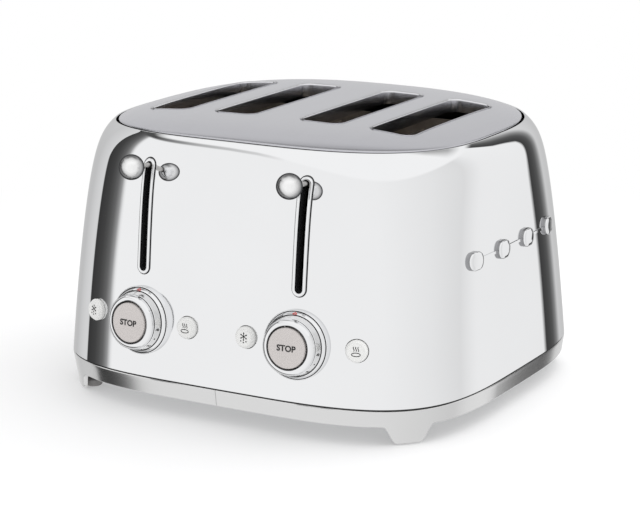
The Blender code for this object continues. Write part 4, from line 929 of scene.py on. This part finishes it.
class TOASTER_OT_underside(Operator):
    """Foot pads, crumb trays, base screws and the cord's gland"""
    bl_idname = "toaster.underside"
    bl_label = "Underside and back"

    def execute(self, context):
        for side_name, _ in SIDES:
            for end in ("front", "rear"):
                self.make_pad(f"foot_pad_{end}_{side_name}")
            self.make_tray(f"crumb_tray_{side_name}", f"tray_{side_name}")
        self.make_gland()
        self.make_screws()
        return {"FINISHED"}

    def make_pad(self, name):
        """A turned rubber pad with a shallow hollow under it."""
        low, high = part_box(name)
        at = Matrix.Translation(((low.x + high.x) / 2, (low.y + high.y) / 2, low.z))
        radius, stem, shoulder, hollow = (high.x - low.x) / 2, 0.0035, 0.005, 0.0006
        bm = bmesh.new()
        lathe(bm, ((0, high.z), (stem, high.z), (stem, shoulder), (radius - hollow, shoulder),
                   (radius, shoulder - hollow), (radius, 0.0008), (radius - 0.0008, 0), (radius * 0.62, 0),
                   (radius * 0.55, hollow), (radius * 0.3, hollow), (0, hollow)), 40, at)
        add_piece(f"{name}_rubber", bm, ("rubber",), "root", "rubber", name)

    def make_tray(self, name, body):
        """A shallow tray with a rolled back edge and a ribbed finger tab."""
        low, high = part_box(name)
        tab_reach, half_tab, wall, edge, roll = 0.0070, 0.018, 0.0010, 0.0012, 0.0003
        rear = high.y - tab_reach
        centre = ((low.x + high.x) / 2, (low.y + rear) / 2)
        half = ((high.x - low.x) / 2, (rear - low.y) / 2)
        rings = []
        for inset, height in ((edge, low.z), (roll, low.z + 0.0004), (0, low.z + edge), (0, high.z - roll),
                              (roll, high.z), (wall - roll, high.z), (wall, high.z - roll),
                              (wall, low.z + wall + 0.0008), (wall + 0.0008, low.z + wall)):
            outline = rounded_outline(half[0] - inset, half[1] - inset, 0.0030 - min(inset, 0.002), 6)
            rings.append([Vector((x + centre[0], y + centre[1], height)) for x, y in outline])
        bm = bmesh.new()
        add_loft(bm, rings)
        add_box(bm, (centre[0] - half_tab, rear + 0.0001, low.z + 0.0010),
                (centre[0] + half_tab, high.y, low.z + 0.0030), 0.0025)
        for rib in range(3):
            y, z = rear + 0.0018 + rib * 0.0016, low.z + 0.0031
            add_tube(bm, [Vector((centre[0] + end * half_tab * 0.8, y, z)) for end in (-1, 1)], 0.0003, 8)
        add_piece(f"{name}_pressed", bm, ("galvanised",), body, "galvanised", name)

    def make_gland(self):
        """A turned ring with a rolled lip round the cord's way out."""
        low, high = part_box("cord_gland")
        radius, depth, bead = (high.x - low.x) / 2, high.y - low.y, ((0.0050, -0.0014), 0.0014)
        at = (Matrix.Translation(((low.x + high.x) / 2, high.y, (low.z + high.z) / 2))
              @ Matrix.Rotation(-pi / 2, 4, "X"))
        profile = arc(*bead, 90, 0, 5)
        profile += [(radius - 0.0006, -0.0022), (radius, -0.0028), (radius, -0.0036), (0.0057, -0.0038),
                    (0.0057, -depth), (0.0036, -depth)]
        profile += arc(*bead, 180, 105, 4)
        bm = bmesh.new()
        lathe(bm, profile, 48, at)
        add_piece("cord_grommet", bm, ("black",), "root", "black_plastic", "cord_gland")

    def make_screws(self):
        """Round heads under the base pan: along the sides, near the corners, front and rear."""
        spots = [(x * across, y * along) for x, y in ((0.125, 0.0255), (0.112, 0.085))
                 for across in (-1, 1) for along in (-1, 1)]
        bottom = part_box("base_pan")[0].z
        places = bmesh.new()
        for x, y in (*spots, (0, -0.11), (0, 0.11)):
            places.verts.new((x, CENTRE_Y + y, bottom))
        bm = bmesh.new()
        lathe(bm, ((0, 0.0004), (0.0028, 0.0004), (0.0030, 0.0002), (0.0030, -0.0004), (0.0026, -0.0012),
                   (0.0016, -0.0017), (0.0011, -0.0017), (0.0008, -0.0009), (0, -0.0009)), 20)
        head = place("screw_head", closed_mesh("screw_head", bm))
        mesh = generate("screws", screw_tree(), "wire", plain_mesh("screw_places", places), Head=head)
        bpy.data.objects.remove(head, do_unlink=True)
        add_piece("base_screws", joined([mesh]), ("wire",), "root", "spring_steel")


# ---------------------------------------------------------------- levers

class TOASTER_OT_slit_bezels(Operator):
    """Bright rims round the lever slits, with black liners and a thin black bead, both painted shade"""
    bl_idname = "toaster.slit_bezels"
    bl_label = "Slit bezels"

    def execute(self, context):
        rim = context.scene.toaster_sizes.bezel_roll
        for side_name, side in SIDES:
            name = f"slit_bezel_{side_name}"
            bm = bmesh.new()
            # The first four points make a thin black bead round the rim: painted shade for the shadowed gap
            # where the rim meets the shell
            profile = [(rim, -0.0004), (rim + 0.0007, -0.0002), (rim + 0.0007, 0.00012), (rim, 0.00016)]
            bead = len(profile)
            profile += [(rim * (0.55 + copysign(0.45 * abs(cos(radians(turn))) ** 0.6, cos(radians(turn)))),
                         0.0016 * sin(radians(turn)) ** 0.6 + 0.0001) for turn in range(10, 171, 16)]
            # From here the sleeve down into the slit is black: painted shade for the dark inside the slit
            sleeve = len(profile)
            profile += [(0.0002, 0.0), (0, -0.0006), (0, -0.0065), (0.0009, -0.0065), (0.0009, -0.0014)]
            looks = [0 if bead <= index < sleeve else 1 for index in range(len(profile))]
            rings = []
            for margin, rise in profile:
                spots = [front_point(side * PAIR_X + x, z) for x, z in slit_loop(margin, 14)]
                rings.append([spot - Vector((0, rise, 0)) for spot in spots])
            add_loop_strip(bm, rings, True, True, looks)
            add_piece(f"{name}_rim", bm, ("chrome", "black"), "root", "mirror_chrome", name, smooth_angle=50)
        return {"FINISHED"}


class TOASTER_OT_levers(Operator):
    """Chrome balls on their arms"""
    bl_idname = "toaster.levers"
    bl_label = "Levers"

    def execute(self, context):
        neck, opening, sink = 0.0022, 17, 0.003
        for side_name, _ in SIDES:
            body = f"carriage_{side_name}"
            low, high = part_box(f"lever_knob_{side_name}")
            arm_low, arm_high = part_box(f"lever_arm_{side_name}")
            radius, arm_radius = (high.x - low.x) / 2, (arm_high.x - arm_low.x) / 2
            centre = Vector(((low.x + high.x) / 2, low.y + radius, low.z + radius))
            points = self.arm_points(centre, arm_low, arm_high, arm_radius)
            inward = (points[-2] - points[-1]).normalized()
            at = Matrix.Translation(centre) @ inward.to_track_quat("Z", "Y").to_matrix().to_4x4()
            mouth = radius * cos(radians(opening))
            bm = bmesh.new()
            lathe(bm, [(0, -radius), *arc((0, 0), radius, -86, 90 - opening, 40),
                       (radius * sin(radians(opening)) - 0.0004, mouth + 0.0002), (neck, mouth + 0.0001),
                       (neck, sink), (0, sink)], 72, at)
            add_piece(f"lever_ball_{side_name}", bm, ("ball",), body, "mirror_chrome",
                      f"lever_knob_{side_name}", smooth_angle=40)
            bm = bmesh.new()
            add_tube(bm, points, arm_radius, 16)
            add_piece(f"lever_rod_{side_name}", bm, ("wire",), body, "spring_steel", f"lever_arm_{side_name}")
        return {"FINISHED"}

    def arm_points(self, ball, low, high, radius):
        """Up the carriage, round a bend and forwards to the ball."""
        foot_y, level, bend, sink = high.y - radius, ball.z - 0.0029, 0.0121, 0.0032
        points = [Vector((ball.x, foot_y, low.z))]
        points += [Vector((ball.x, foot_y - bend * (1 - cos(radians(turn))),
                           level - bend * (1 - sin(radians(turn))))) for turn in range(0, 91, 9)]
        points.append(Vector((ball.x, front_point(PAIR_X, ball.z).y, level)))
        points.append(ball + (points[-1] - ball).normalized() * sink)
        return points


# ---------------------------------------------------------------- dials and buttons

def printed(bm, mesh, place_point):
    """Add a flat mesh with each of its vertices moved by a function."""
    start = len(bm.verts)
    bm.from_mesh(mesh)
    bm.verts.ensure_lookup_table()
    for vertex in bm.verts[start:]:
        vertex.co = place_point(vertex.co)


def bar_outline(start, end, width=STROKE):
    """Corners of a short straight stroke between two flat points."""
    start, end = Vector(start), Vector(end)
    side = Vector((start.y - end.y, end.x - start.x)).normalized() * width / 2
    return [tuple(corner) for corner in (start + side, start - side, end - side, end + side)]


def dot_outline(centre, radius, sides=12):
    """Points round a small dot."""
    return [(centre[0] + radius * cos(tau * step / sides), centre[1] + radius * sin(tau * step / sides))
            for step in range(sides)]


class TOASTER_OT_dials(Operator):
    """Collars with red pointers, browning dials with printed scales, and stop buttons"""
    bl_idname = "toaster.dials"
    bl_label = "Dials"

    collar_cone = ((0.0232, 0.0033), (0.0220, 0.0050))
    skirt = ((0.0211, 0.0057), (0.0199, 0.0103))

    def execute(self, context):
        self.steps = context.scene.toaster_sizes.lathe_steps
        self.proud = context.scene.toaster_sizes.print_height
        for side_name, _ in SIDES:
            at = dial_frame(side_name)
            self.make_collar(side_name, at)
            self.make_dial(side_name, at)
            self.make_stop(side_name)
        return {"FINISHED"}

    def make_collar(self, side_name, at):
        """The fixed flange with a groove, and the red pointer on its cone."""
        profile = arc((0.0240, 0.0021), 0.0005, 0, 80, 4)
        profile = [(0.0070, -0.0016), (0.0245, -0.0016)] + profile
        profile += [(0.0239, 0.0026), (0.0237, 0.0022), (0.0234, 0.0022), (0.0233, 0.0030)]
        groove = len(profile) - 3
        profile += [*self.collar_cone, (0.0217, 0.0052), (0.0212, 0.0052), (0.0212, 0.0046), (0.0070, 0.0046)]
        # The groove, the inner step and the back are black: painted shade for the dark in these gaps between
        # the collar, the shell and the dial
        looks = [0] * len(profile)
        looks[groove:groove + 2] = [1, 1]
        looks[-4:-1] = [1, 1, 1]
        looks[0] = 1
        bm = bmesh.new()
        lathe(bm, profile, self.steps, at, looks)
        add_piece(f"dial_collar_{side_name}_turned", bm, ("chrome", "black"), "root", "mirror_chrome",
                  f"dial_collar_{side_name}", smooth_angle=30)
        bm = bmesh.new()
        tip, foot, half, steps = 0.0016, -0.0002, 0.0016, 4
        corners = [Vector(corner) for corner in ((-half, tip), (half, tip), (0.0, foot))]
        for start, end in zip(corners, corners[1:] + corners[:1]):
            for part in range(steps):
                first, last = start.lerp(end, part / steps), start.lerp(end, (part + 1.1) / steps)
                outline = [(x, y - 0.0006) for x, y in bar_outline(first, last)]
                self.add_cone_mark(bm, at, self.collar_cone, 0.0, outline)
        add_piece(f"pointer_{side_name}", bm, ("red",), "root", "mirror_chrome")

    def cone_point(self, at, cone, turn, along, up, rise):
        """A spot on a cone: turn is clockwise from the top, along and up are on its surface."""
        (low_radius, low_height), (high_radius, high_height) = cone
        slope = Vector((high_radius - low_radius, high_height - low_height))
        length = slope.length
        share = 0.5 + up / length
        radius = low_radius + slope.x * share
        height = low_height + slope.y * share
        radius += slope.y / length * rise
        height -= slope.x / length * rise
        angle = pi / 2 - turn - along / radius
        return at @ Vector((radius * cos(angle), radius * sin(angle), height))

    def add_cone_mark(self, bm, at, cone, turn, outline):
        """A flat outline printed on a cone."""
        add_loft(bm, [[self.cone_point(at, cone, turn, x, y, rise) for x, y in outline]
                      for rise in (-0.0001, self.proud)])

    def make_dial(self, side_name, at):
        """The turning rim and skirt, with the scale's numbers and dots on the skirt."""
        low_radius, low_height = self.skirt[0]
        high_radius, high_height = self.skirt[1]
        profile = [(0.0148, 0.0076), (0.0148, 0.0140)]
        profile += [(0.0149, 0.0146), (0.0156, 0.0152)]
        profile += arc((0.0160, 0.0119), 0.0036, 84, 6, 14)
        profile += [(0.0198, 0.0118), (0.0194, 0.0116), (0.0187, 0.0114), (0.0187, 0.0107),
                    (0.0196, 0.0105), (high_radius, high_height), (low_radius, low_height),
                    (0.0208, 0.0055), (0.0060, 0.0055), (0.0060, -0.0100), (0.0031, -0.0100),
                    (0.0031, 0.0076)]
        # The bore round the stop cap and the neck groove are black: painted shade for the dark in these gaps
        front = 3
        looks = [1] * front + [0] * (len(profile) - front)
        neck = profile.index((0.0194, 0.0116))
        looks[neck:neck + 3] = [1, 1, 1]
        for index, (start, end) in enumerate(zip(profile, profile[1:])):
            if start == self.skirt[1] and end == self.skirt[0]:
                looks[index] = 2
        bm = bmesh.new()
        lathe(bm, profile, self.steps, at, looks)
        add_piece(f"browning_dial_{side_name}_turned", bm, ("chrome", "black", "silver_face"),
                  f"dial_{side_name}", "mirror_chrome", f"browning_dial_{side_name}", smooth_angle=30)
        bm = bmesh.new()
        first_turn, spacing, dot = radians(309), radians(-42), dot_outline((0, 0), 0.0006)
        for number in range(6):
            turn = first_turn + spacing * number
            figure = text_mesh(str(number + 1), 0.0042, 0.0002, 0.00014)
            printed(bm, figure, lambda point: self.cone_point(
                at, self.skirt, turn, point.x, point.y, point.z + self.proud - 0.0001))
            if number < 5:
                self.add_cone_mark(bm, at, self.skirt, turn + spacing / 2, dot)
        add_piece(f"dial_scale_{side_name}", bm, ("ink",), f"dial_{side_name}", "mirror_chrome")

    def make_stop(self, side_name):
        """The cap that is pushed in, with its word."""
        at = control_frame(f"stop_button_{side_name}", f"stop_{side_name}_press")
        radius, depth = 0.0143, 0.0050
        profile = [(0, -0.0001), (0.0060, -0.00012), (0.0100, -0.0002), (0.0125, -0.0003)]
        profile += arc((radius - 0.0010, -0.0014), 0.0010, 85, 0, 5)
        profile += [(radius, -depth), (0.0026, -depth), (0.0026, -0.0250), (0, -0.0250)]
        bm = bmesh.new()
        lathe(bm, profile, self.steps, at)
        add_piece(f"stop_button_{side_name}_cap", bm, ("cap",), f"stop_{side_name}", "warm_grey",
                  f"stop_button_{side_name}", smooth_angle=40)
        words = text_mesh("STOP", 0.0060, 0.0004, 0.00016)
        (left, right), (bottom, top) = ((min(along), max(along)) for along in
                                        zip(*(vertex.co.xy for vertex in words.vertices)))
        wide, high = 0.0143 / (right - left), 0.0044 / (top - bottom)
        bm = bmesh.new()
        printed(bm, words, lambda point: at @ Vector((point.x * wide, (point.y - (bottom + top) / 2) * high,
                                                      point.z - 0.0002 + self.proud)))
        add_piece(f"stop_word_{side_name}", bm, ("ink",), f"stop_{side_name}", "warm_grey")


def snow_outlines():
    """A flake with six short arms over three drops."""
    centre, reach, drop = Vector((0, 0.0009)), 0.0024, 0.00052
    arms = [Vector((cos(pi / 2 + arm * pi / 3), sin(pi / 2 + arm * pi / 3))) * reach for arm in range(6)]
    return [*(bar_outline(centre - arm, centre + arm) for arm in arms[:3]),
            *(dot_outline(centre + arm, STROKE) for arm in arms),
            *(dot_outline(spot, drop) for spot in ((-0.0021, -0.0024), (0, -0.0032), (0.0021, -0.0024)))]


def steam_outlines():
    """Three wavy lines over a slice."""
    paths = [[(line * 0.0016 + 0.00036 * sin(step * pi / 4), 0.0002 + step * 0.0004) for step in range(9)]
             for line in (-1, 0, 1)]
    paths.append([(0.0031 * cos(radians(turn)), -0.0020 + 0.0012 * sin(radians(turn)))
                  for turn in range(0, 361, 20)])
    return [bar_outline(start, end) for path in paths for start, end in zip(path, path[1:])]


class TOASTER_OT_push_buttons(Operator):
    """Defrost and reheat buttons with raised signs"""
    bl_idname = "toaster.push_buttons"
    bl_label = "Push buttons"

    def execute(self, context):
        signs = dict(zip(BUTTONS, (snow_outlines(), steam_outlines())))
        low, high = -0.0003, -0.0002 + context.scene.toaster_sizes.print_height
        radius, skirt, stem, length = 0.0078, 0.0088, 0.0026, 0.0180
        for side_name, _ in SIDES:
            for kind in BUTTONS:
                node, body = f"{kind}_button_{side_name}", f"{kind}_{side_name}"
                at = control_frame(node, f"{body}_press")
                bm = bmesh.new()
                lathe(bm, ((0, -0.0002), (0.0056, -0.0002), (0.0059, -0.00015), (0.0062, 0),
                           (0.0064, -0.0001), (radius - 0.0003, -0.0016), (radius, -0.0020),
                           (radius, -skirt), (stem, -skirt), (stem, -length), (0, -length)), 64, at)
                add_piece(f"{node}_cap", bm, ("button",), body, "white_plastic", node)
                bm = bmesh.new()
                for outline in signs[kind]:
                    add_prism(bm, outline, low, high, at)
                add_piece(f"{node}_sign", bm, ("ink",), body, "white_plastic")
        return {"FINISHED"}


# ---------------------------------------------------------------- inside

class TOASTER_OT_bread_guides(Operator):
    """Wire grilles that close on the bread, and the racks under it"""
    bl_idname = "toaster.bread_guides"
    bl_label = "Bread guides"

    def execute(self, context):
        tree, wire = bar_row_tree(), 0.0008
        pitch = OUTER_SLOT_X - INNER_SLOT_X
        for side_name, _ in SIDES:
            for set_name, shift in (("a", -0.006), ("b", 0.006)):
                node = f"bread_guide_{side_name}_{set_name}"
                low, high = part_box(node)
                foot = low.z + 0.006
                meshes = []
                for x in (low.x + wire, low.x + wire + pitch):
                    meshes += self.grille(tree, x, low, high, foot, high.z, wire)
                for y in (-0.04, 0.04):
                    meshes.append(self.link(low, high, y + shift + CENTRE_Y, foot, wire))
                add_piece(f"{node}_grille", joined(meshes), ("soot",), f"guides_{side_name}_{set_name}",
                          "galvanised", node)
        for number in range(1, 5):
            self.make_rack(tree, number)
        return {"FINISHED"}

    def link(self, low, high, y, foot, wire):
        """A bent wire under the rack that joins two grilles."""
        bend, lift, drop = 0.0015, 0.0025, 0.0012
        half = [(low.x + wire, foot), (low.x + wire, low.z + lift), (low.x + wire + bend, low.z + drop)]
        path = half + [(low.x + high.x - x, z) for x, z in half[::-1]]
        bm = bmesh.new()
        add_tube(bm, [Vector((x, y, z)) for x, z in path], 0.0011, 8)
        return plain_mesh("link", bm)

    def grille(self, tree, x, low, high, foot, top, wire):
        """Upright wires crossed by four long ones."""
        length, tall, count = high.y - low.y, top - foot, 10
        uprights = generate("uprights", tree, "soot", Count=count, Sides=8,
                            Start=(x, low.y + wire, (foot + top) / 2),
                            Step=(0, (length - 2 * wire) / (count - 1), 0), Turn=(0, 0, 0),
                            Length=tall - 2 * wire, Radius=wire)
        rails = generate("rails", tree, "soot", Count=4, Sides=8,
                         Start=(x, (low.y + high.y) / 2, foot + wire), Step=(0, 0, (tall - 2 * wire) / 3),
                         Turn=(pi / 2, 0, 0), Length=length, Radius=wire * 0.95)
        return [uprights, rails]

    def make_rack(self, tree, number):
        """A ladder of rungs on two rails, with a neck towards the carriage."""
        node = f"bread_rack_{number}"
        body = "carriage_left" if number < 3 else "carriage_right"
        low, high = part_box(node)
        middle, z, inset, count = (low.x + high.x) / 2, (low.z + high.z) / 2, 0.001, 12
        front, width = low.y + 0.0165, high.x - low.x - 2 * inset
        rungs = generate("rungs", tree, "soot", Count=count, Sides=8, Start=(middle, front + 2 * inset, z),
                         Step=(0, (high.y - front - 4 * inset) / (count - 1), 0), Turn=(0, pi / 2, 0),
                         Length=width, Radius=0.0009)
        rails = generate("side_rails", tree, "soot", Count=2, Sides=8,
                         Start=(low.x + inset, (front + high.y) / 2, z), Step=(width, 0, 0),
                         Turn=(pi / 2, 0, 0), Length=high.y - front, Radius=0.00095)
        bm = bmesh.new()
        add_box(bm, (middle - 0.003, low.y, low.z + 0.0002), (middle + 0.003, front + 0.004, high.z - 0.0002))
        add_piece(f"{node}_ladder", joined([rungs, rails, plain_mesh("neck", bm)]), ("soot",), body,
                  "galvanised", node)


class TOASTER_OT_heaters(Operator):
    """Flat ribbon wound round the mica boards, and the return springs"""
    bl_idname = "toaster.heaters"
    bl_label = "Heaters and springs"

    def execute(self, context):
        bars = bar_row_tree()
        for number in range(1, 7):
            self.make_winding(number, bars)
        coils, wire = coil_tree(), 0.0006
        for side_name, _ in SIDES:
            node = f"return_spring_{side_name}"
            low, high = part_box(node)
            coil = generate("coil", coils, "wire", Turns=11.0, Radius=(high.x - low.x) / 2 - wire, Wire=wire,
                            Height=high.z - low.z - 2 * wire,
                            Place=((low.x + high.x) / 2, (low.y + high.y) / 2, low.z + wire))
            spring = add_piece(f"{node}_coil", joined([coil]), ("wire",), "root", "spring_steel", node)
            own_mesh(spring)
        return {"FINISHED"}

    def make_winding(self, number, bars):
        """Slanting ribbons on both faces of a board, joined over its edges."""
        low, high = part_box(f"heater_board_{number}")
        middle, count, margin = (low + high) / 2, 22, 0.008
        start = low.y + margin
        row = {"Count": count, "Step": (0, (high.y - low.y - 2 * margin) / (count - 1), 0)}
        meshes = [generate("ribbons", bars, "winding", Sides=4, Turn=(hand * 0.02, 0, pi / 4),
                           Start=(middle.x + hand * 0.0009, start, middle.z),
                           Length=high.z - low.z + 0.0006, Radius=0.0005, **row) for hand in (-1, 1)]
        meshes += [generate("turns", bars, "winding", Sides=6, Start=(middle.x, start, edge),
                            Turn=(0, pi / 2, 0), Length=0.0022, Radius=0.00035, **row)
                   for edge in (low.z - 0.0004, high.z + 0.0004)]
        add_piece(f"heater_ribbon_{number}", joined(meshes), ("winding",), "root", "heater_wire",
                  f"heater_winding_{number}")


class TOASTER_OT_inner_finishes(Operator):
    """Materials of the frame's own pieces that stay"""
    bl_idname = "toaster.inner_finishes"
    bl_label = "Inner finishes"

    finishes = {"base_pan": "galvanised", "front_bulkhead": "soot", "rear_bulkhead": "soot",
                "heater_board_": "mica", "carriage_": "galvanised", "guide_rod_": "wire",
                "latch_magnet_": "copper", "control_board": "board"}

    def execute(self, context):
        for name, node in frame["nodes"].items():
            for start, look in self.finishes.items():
                if name.startswith(start):
                    node.data.materials.clear()
                    node.data.materials.append(LOOKS[look])
        return {"FINISHED"}


# ---------------------------------------------------------------- stage

def camera_axes(stage):
    """Right, up and back directions of the camera, with its roll."""
    azimuth, elevation = stage.azimuth, stage.elevation
    back = Vector((sin(azimuth) * cos(elevation), -cos(azimuth) * cos(elevation), sin(elevation)))
    right = Vector((cos(azimuth), sin(azimuth), 0))
    up = back.cross(right)
    return (right * cos(stage.roll) + up * sin(stage.roll),
            up * cos(stage.roll) - right * sin(stage.roll), back)


class TOASTER_OT_stage(Operator):
    """Pale floor, soft studio surroundings, light and camera"""
    bl_idname = "toaster.stage"
    bl_label = "Stage"

    # Brightness of the surroundings by heading in degrees from +X, counter-clockwise
    surround = ((-180, 0.72), (-177, 0.70), (-175.8, 0.04), (-165, 0.057), (-160, 0.086), (-155.5, 0.14),
                (-152, 0.30), (-148.5, 0.92), (-60, 0.90), (0, 0.83), (35, 0.76), (50, 0.90), (67.6, 0.95),
                (68.4, 0.05), (72, 0.078), (75, 0.117), (79, 0.30), (84, 0.77), (102, 0.76), (140, 0.76),
                (160, 0.66), (180, 0.72))
    # Brightness of the room above, by elevation in degrees
    overhead = ((40, 0.95), (47, 0.45), (60, 0.28), (70, 0.60), (80, 0.95))
    # How much of that shows, by share of the way round; it is pale over the front
    canopy = ((0.0, 1.0), (0.02, 0.0), (0.61, 0.0), (0.68, 1.0))
    # A thin dark rail over the left flag: its height and how far round it reaches
    rail_height = ((0.552, 0.0), (0.570, 1.0), (0.592, 1.0), (0.612, 0.0))
    rail_reach = ((0.0, 1.0), (0.055, 1.0), (0.105, 0.75), (0.150, 0.30), (0.175, 0.0), (0.97, 0.0),
                  (1.0, 1.0))

    # How far the edge of the left flag leans with height
    flag_lean = ((0.0, 0.07), (0.2, 0.07), (0.3, 0.0))
    # Where the walls of the room end and its ceiling starts, in degrees
    wall_top, ceiling_foot = 34, 38.5
    # Floor: radius, where it starts to fade into the room and ends, and how much it glows before that, a
    # painted light that lightens the shadow under the toaster
    floor_radius, fade_start, fade_end, floor_glow = 0.75, 0.34, 0.70, 0.28
    lamp_place, lamp_size = (0.55, 0.45, 1.3), 1.6

    def execute(self, context):
        stage = context.scene.toaster_stage
        self.make_floor()
        self.make_world(context.scene)
        light = bpy.data.lights.new("overhead", "AREA")
        light.shape = "DISK"
        light.size = self.lamp_size
        light.energy = stage.key
        lamp = bpy.data.objects.new("overhead", light)
        lamp.location = self.lamp_place
        lamp.rotation_euler = (-lamp.location).to_track_quat("-Z", "Y").to_euler()
        lamp.visible_glossy = False
        context.scene.collection.objects.link(lamp)
        data = bpy.data.cameras.new("camera")
        data.lens = stage.lens
        data.sensor_width = 36
        camera = bpy.data.objects.new("camera", data)
        right, up, back = camera_axes(stage)
        aim = Vector((0, CENTRE_Y, stage.aim_height)) + right * stage.aim_side
        camera.matrix_world = (Matrix.Translation(aim + back * stage.distance)
                               @ Matrix((right, up, back)).transposed().to_4x4())
        context.scene.collection.objects.link(camera)
        context.scene.camera = camera
        context.scene.view_settings.view_transform = "Standard"
        return {"FINISHED"}

    def make_floor(self):
        """A round pale table that glows with painted light, lightening the shadow under the toaster, and
        fades into the white room; it is left out of the reflections.
        """
        material, tree, shader = new_material("pale_floor", (0.93, 0.93, 0.93), 0.6, 0.0)
        shader.inputs["Specular IOR Level"].default_value = 0.1
        pattern = noise(tree, object_pattern(tree, (1, 1, 1)), 3.0)
        tree.links.new(tinted(tree, pattern, (0.93, 0.93, 0.935), 0.995, 1.0), shader.inputs["Base Color"])
        place_in_room = add_node(tree, "ShaderNodeVectorMath", operation="LENGTH")
        tree.links.new(object_pattern(tree, (1, 1, 0)), place_in_room.inputs[0])
        fade = ranged(tree, place_in_room.outputs["Value"], self.floor_glow, 1.0,
                      self.fade_start, self.fade_end, smooth=True)
        # The floor's own emission is painted light: a little of it near the toaster lifts the shadow there,
        # and all of it at the rim makes the floor the white of the room
        glow = add_node(tree, "ShaderNodeEmission", Color=(1, 1, 1, 1), Strength=1.0)
        mix = add_node(tree, "ShaderNodeMixShader")
        tree.links.new(fade, mix.inputs["Fac"])
        tree.links.new(shader.outputs["BSDF"], mix.inputs[1])
        tree.links.new(glow.outputs["Emission"], mix.inputs[2])
        tree.links.new(mix.outputs["Shader"], tree.nodes["Material Output"].inputs["Surface"])
        bm = bmesh.new()
        bmesh.ops.create_circle(bm, cap_ends=True, segments=96, radius=self.floor_radius,
                                matrix=Matrix.Translation((0, CENTRE_Y, 0)))
        floor = place("floor", plain_mesh("floor", bm))
        floor.data.materials.append(material)
        floor.visible_glossy = False

    def grey_ramp(self, tree, value, stops):
        """A grey for each part of a value's range."""
        ramp = add_node(tree, "ShaderNodeValToRGB")
        elements = ramp.color_ramp.elements
        elements.remove(elements[-1])
        for index, (position, bright) in enumerate(stops):
            stop = elements.new(position) if index else elements[0]
            stop.position = position
            stop.color = (bright, bright, bright, 1)
        tree.links.new(value, ramp.inputs["Fac"])
        return ramp.outputs["Color"]

    def maths(self, tree, operation, first, second, clamp=False):
        """One operation on two sockets."""
        node = add_node(tree, "ShaderNodeMath", operation=operation, use_clamp=clamp)
        tree.links.new(first, node.inputs[0])
        tree.links.new(second, node.inputs[1])
        return node.outputs[0]

    def mixed(self, tree, share, first, second):
        """Mix two colours, each of them a socket or a grey."""
        node = add_node(tree, "ShaderNodeMix", data_type="RGBA")
        tree.links.new(share, node.inputs[0])
        for index, colour in ((6, first), (7, second)):
            if isinstance(colour, float):
                node.inputs[index].default_value = (colour, colour, colour, 1)
            else:
                tree.links.new(colour, node.inputs[index])
        return node.outputs[2]

    def make_world(self, scene):
        """White to the eye, and by heading in reflections: two dark flags in a pale room."""
        world = bpy.data.worlds.new("studio")
        world.use_nodes = True
        scene.world = world
        tree = world.node_tree
        where = add_node(tree, "ShaderNodeTexCoord")
        parts = add_node(tree, "ShaderNodeSeparateXYZ")
        tree.links.new(where.outputs["Generated"], parts.inputs["Vector"])
        height = parts.outputs["Z"]
        heading = self.maths(tree, "ARCTAN2", parts.outputs["Y"], parts.outputs["X"])
        turn = ranged(tree, heading, 0.0, 1.0, -pi, pi)
        lean = self.maths(tree, "MULTIPLY", self.grey_ramp(tree, turn, self.flag_lean), height)
        leant = self.maths(tree, "ADD", turn, lean, clamp=True)
        around = self.grey_ramp(tree, leant, [((angle + 180) / 360, grey) for angle, grey in self.surround])
        upper = self.grey_ramp(tree, height, [(sin(radians(angle)), grey) for angle, grey in self.overhead])
        ceiling = self.mixed(tree, self.grey_ramp(tree, turn, self.canopy), 0.95, upper)
        above = ranged(tree, height, 0.0, 1.0, sin(radians(self.wall_top)), sin(radians(self.ceiling_foot)),
                       smooth=True)
        room = self.mixed(tree, above, around, ceiling)
        rail = self.maths(tree, "MULTIPLY", self.grey_ramp(tree, height, self.rail_height),
                          self.grey_ramp(tree, turn, self.rail_reach))
        railed = self.mixed(tree, rail, room, 0.08)
        seen = add_node(tree, "ShaderNodeLightPath")
        view = self.mixed(tree, seen.outputs["Is Glossy Ray"], 1.0, railed)
        tree.links.new(view, tree.nodes["Background"].inputs["Color"])


OPERATORS = (TOASTER_OT_body_shell, TOASTER_OT_top_plate, TOASTER_OT_side_badge, TOASTER_OT_base_trims,
             TOASTER_OT_underside, TOASTER_OT_slit_bezels, TOASTER_OT_levers, TOASTER_OT_dials,
             TOASTER_OT_push_buttons, TOASTER_OT_bread_guides, TOASTER_OT_heaters,
             TOASTER_OT_inner_finishes, TOASTER_OT_stage)


class TOASTER_PT_panel(Panel):
    """The toaster's operators and sizes"""
    bl_idname = "TOASTER_PT_panel"
    bl_label = "Toaster"
    bl_space_type = "VIEW_3D"
    bl_region_type = "UI"
    bl_category = "Toaster"

    def draw(self, context):
        scene = context.scene
        for group in (scene.toaster_sizes, scene.toaster_colours, scene.toaster_stage):
            box = self.layout.box()
            for name in group.__annotations__:
                box.prop(group, name)
        for operator in OPERATORS:
            self.layout.operator(operator.bl_idname)


GROUPS = (("toaster_sizes", ToasterSizes), ("toaster_colours", ToasterColours),
          ("toaster_stage", ToasterStage))


def register():
    for name, group in GROUPS:
        bpy.utils.register_class(group)
        setattr(bpy.types.Scene, name, PointerProperty(type=group))
    for item in (*OPERATORS, TOASTER_PT_panel):
        bpy.utils.register_class(item)


def unregister():
    for item in reversed((*OPERATORS, TOASTER_PT_panel)):
        bpy.utils.unregister_class(item)
    for name, group in reversed(GROUPS):
        delattr(bpy.types.Scene, name)
        bpy.utils.unregister_class(group)


def main():
    register()
    LOOKS.update(make_materials(bpy.context.scene.toaster_colours))
    for operator in OPERATORS:
        getattr(bpy.ops.toaster, operator.bl_idname.split(".")[1])()


if __name__ == "__main__":
    main()
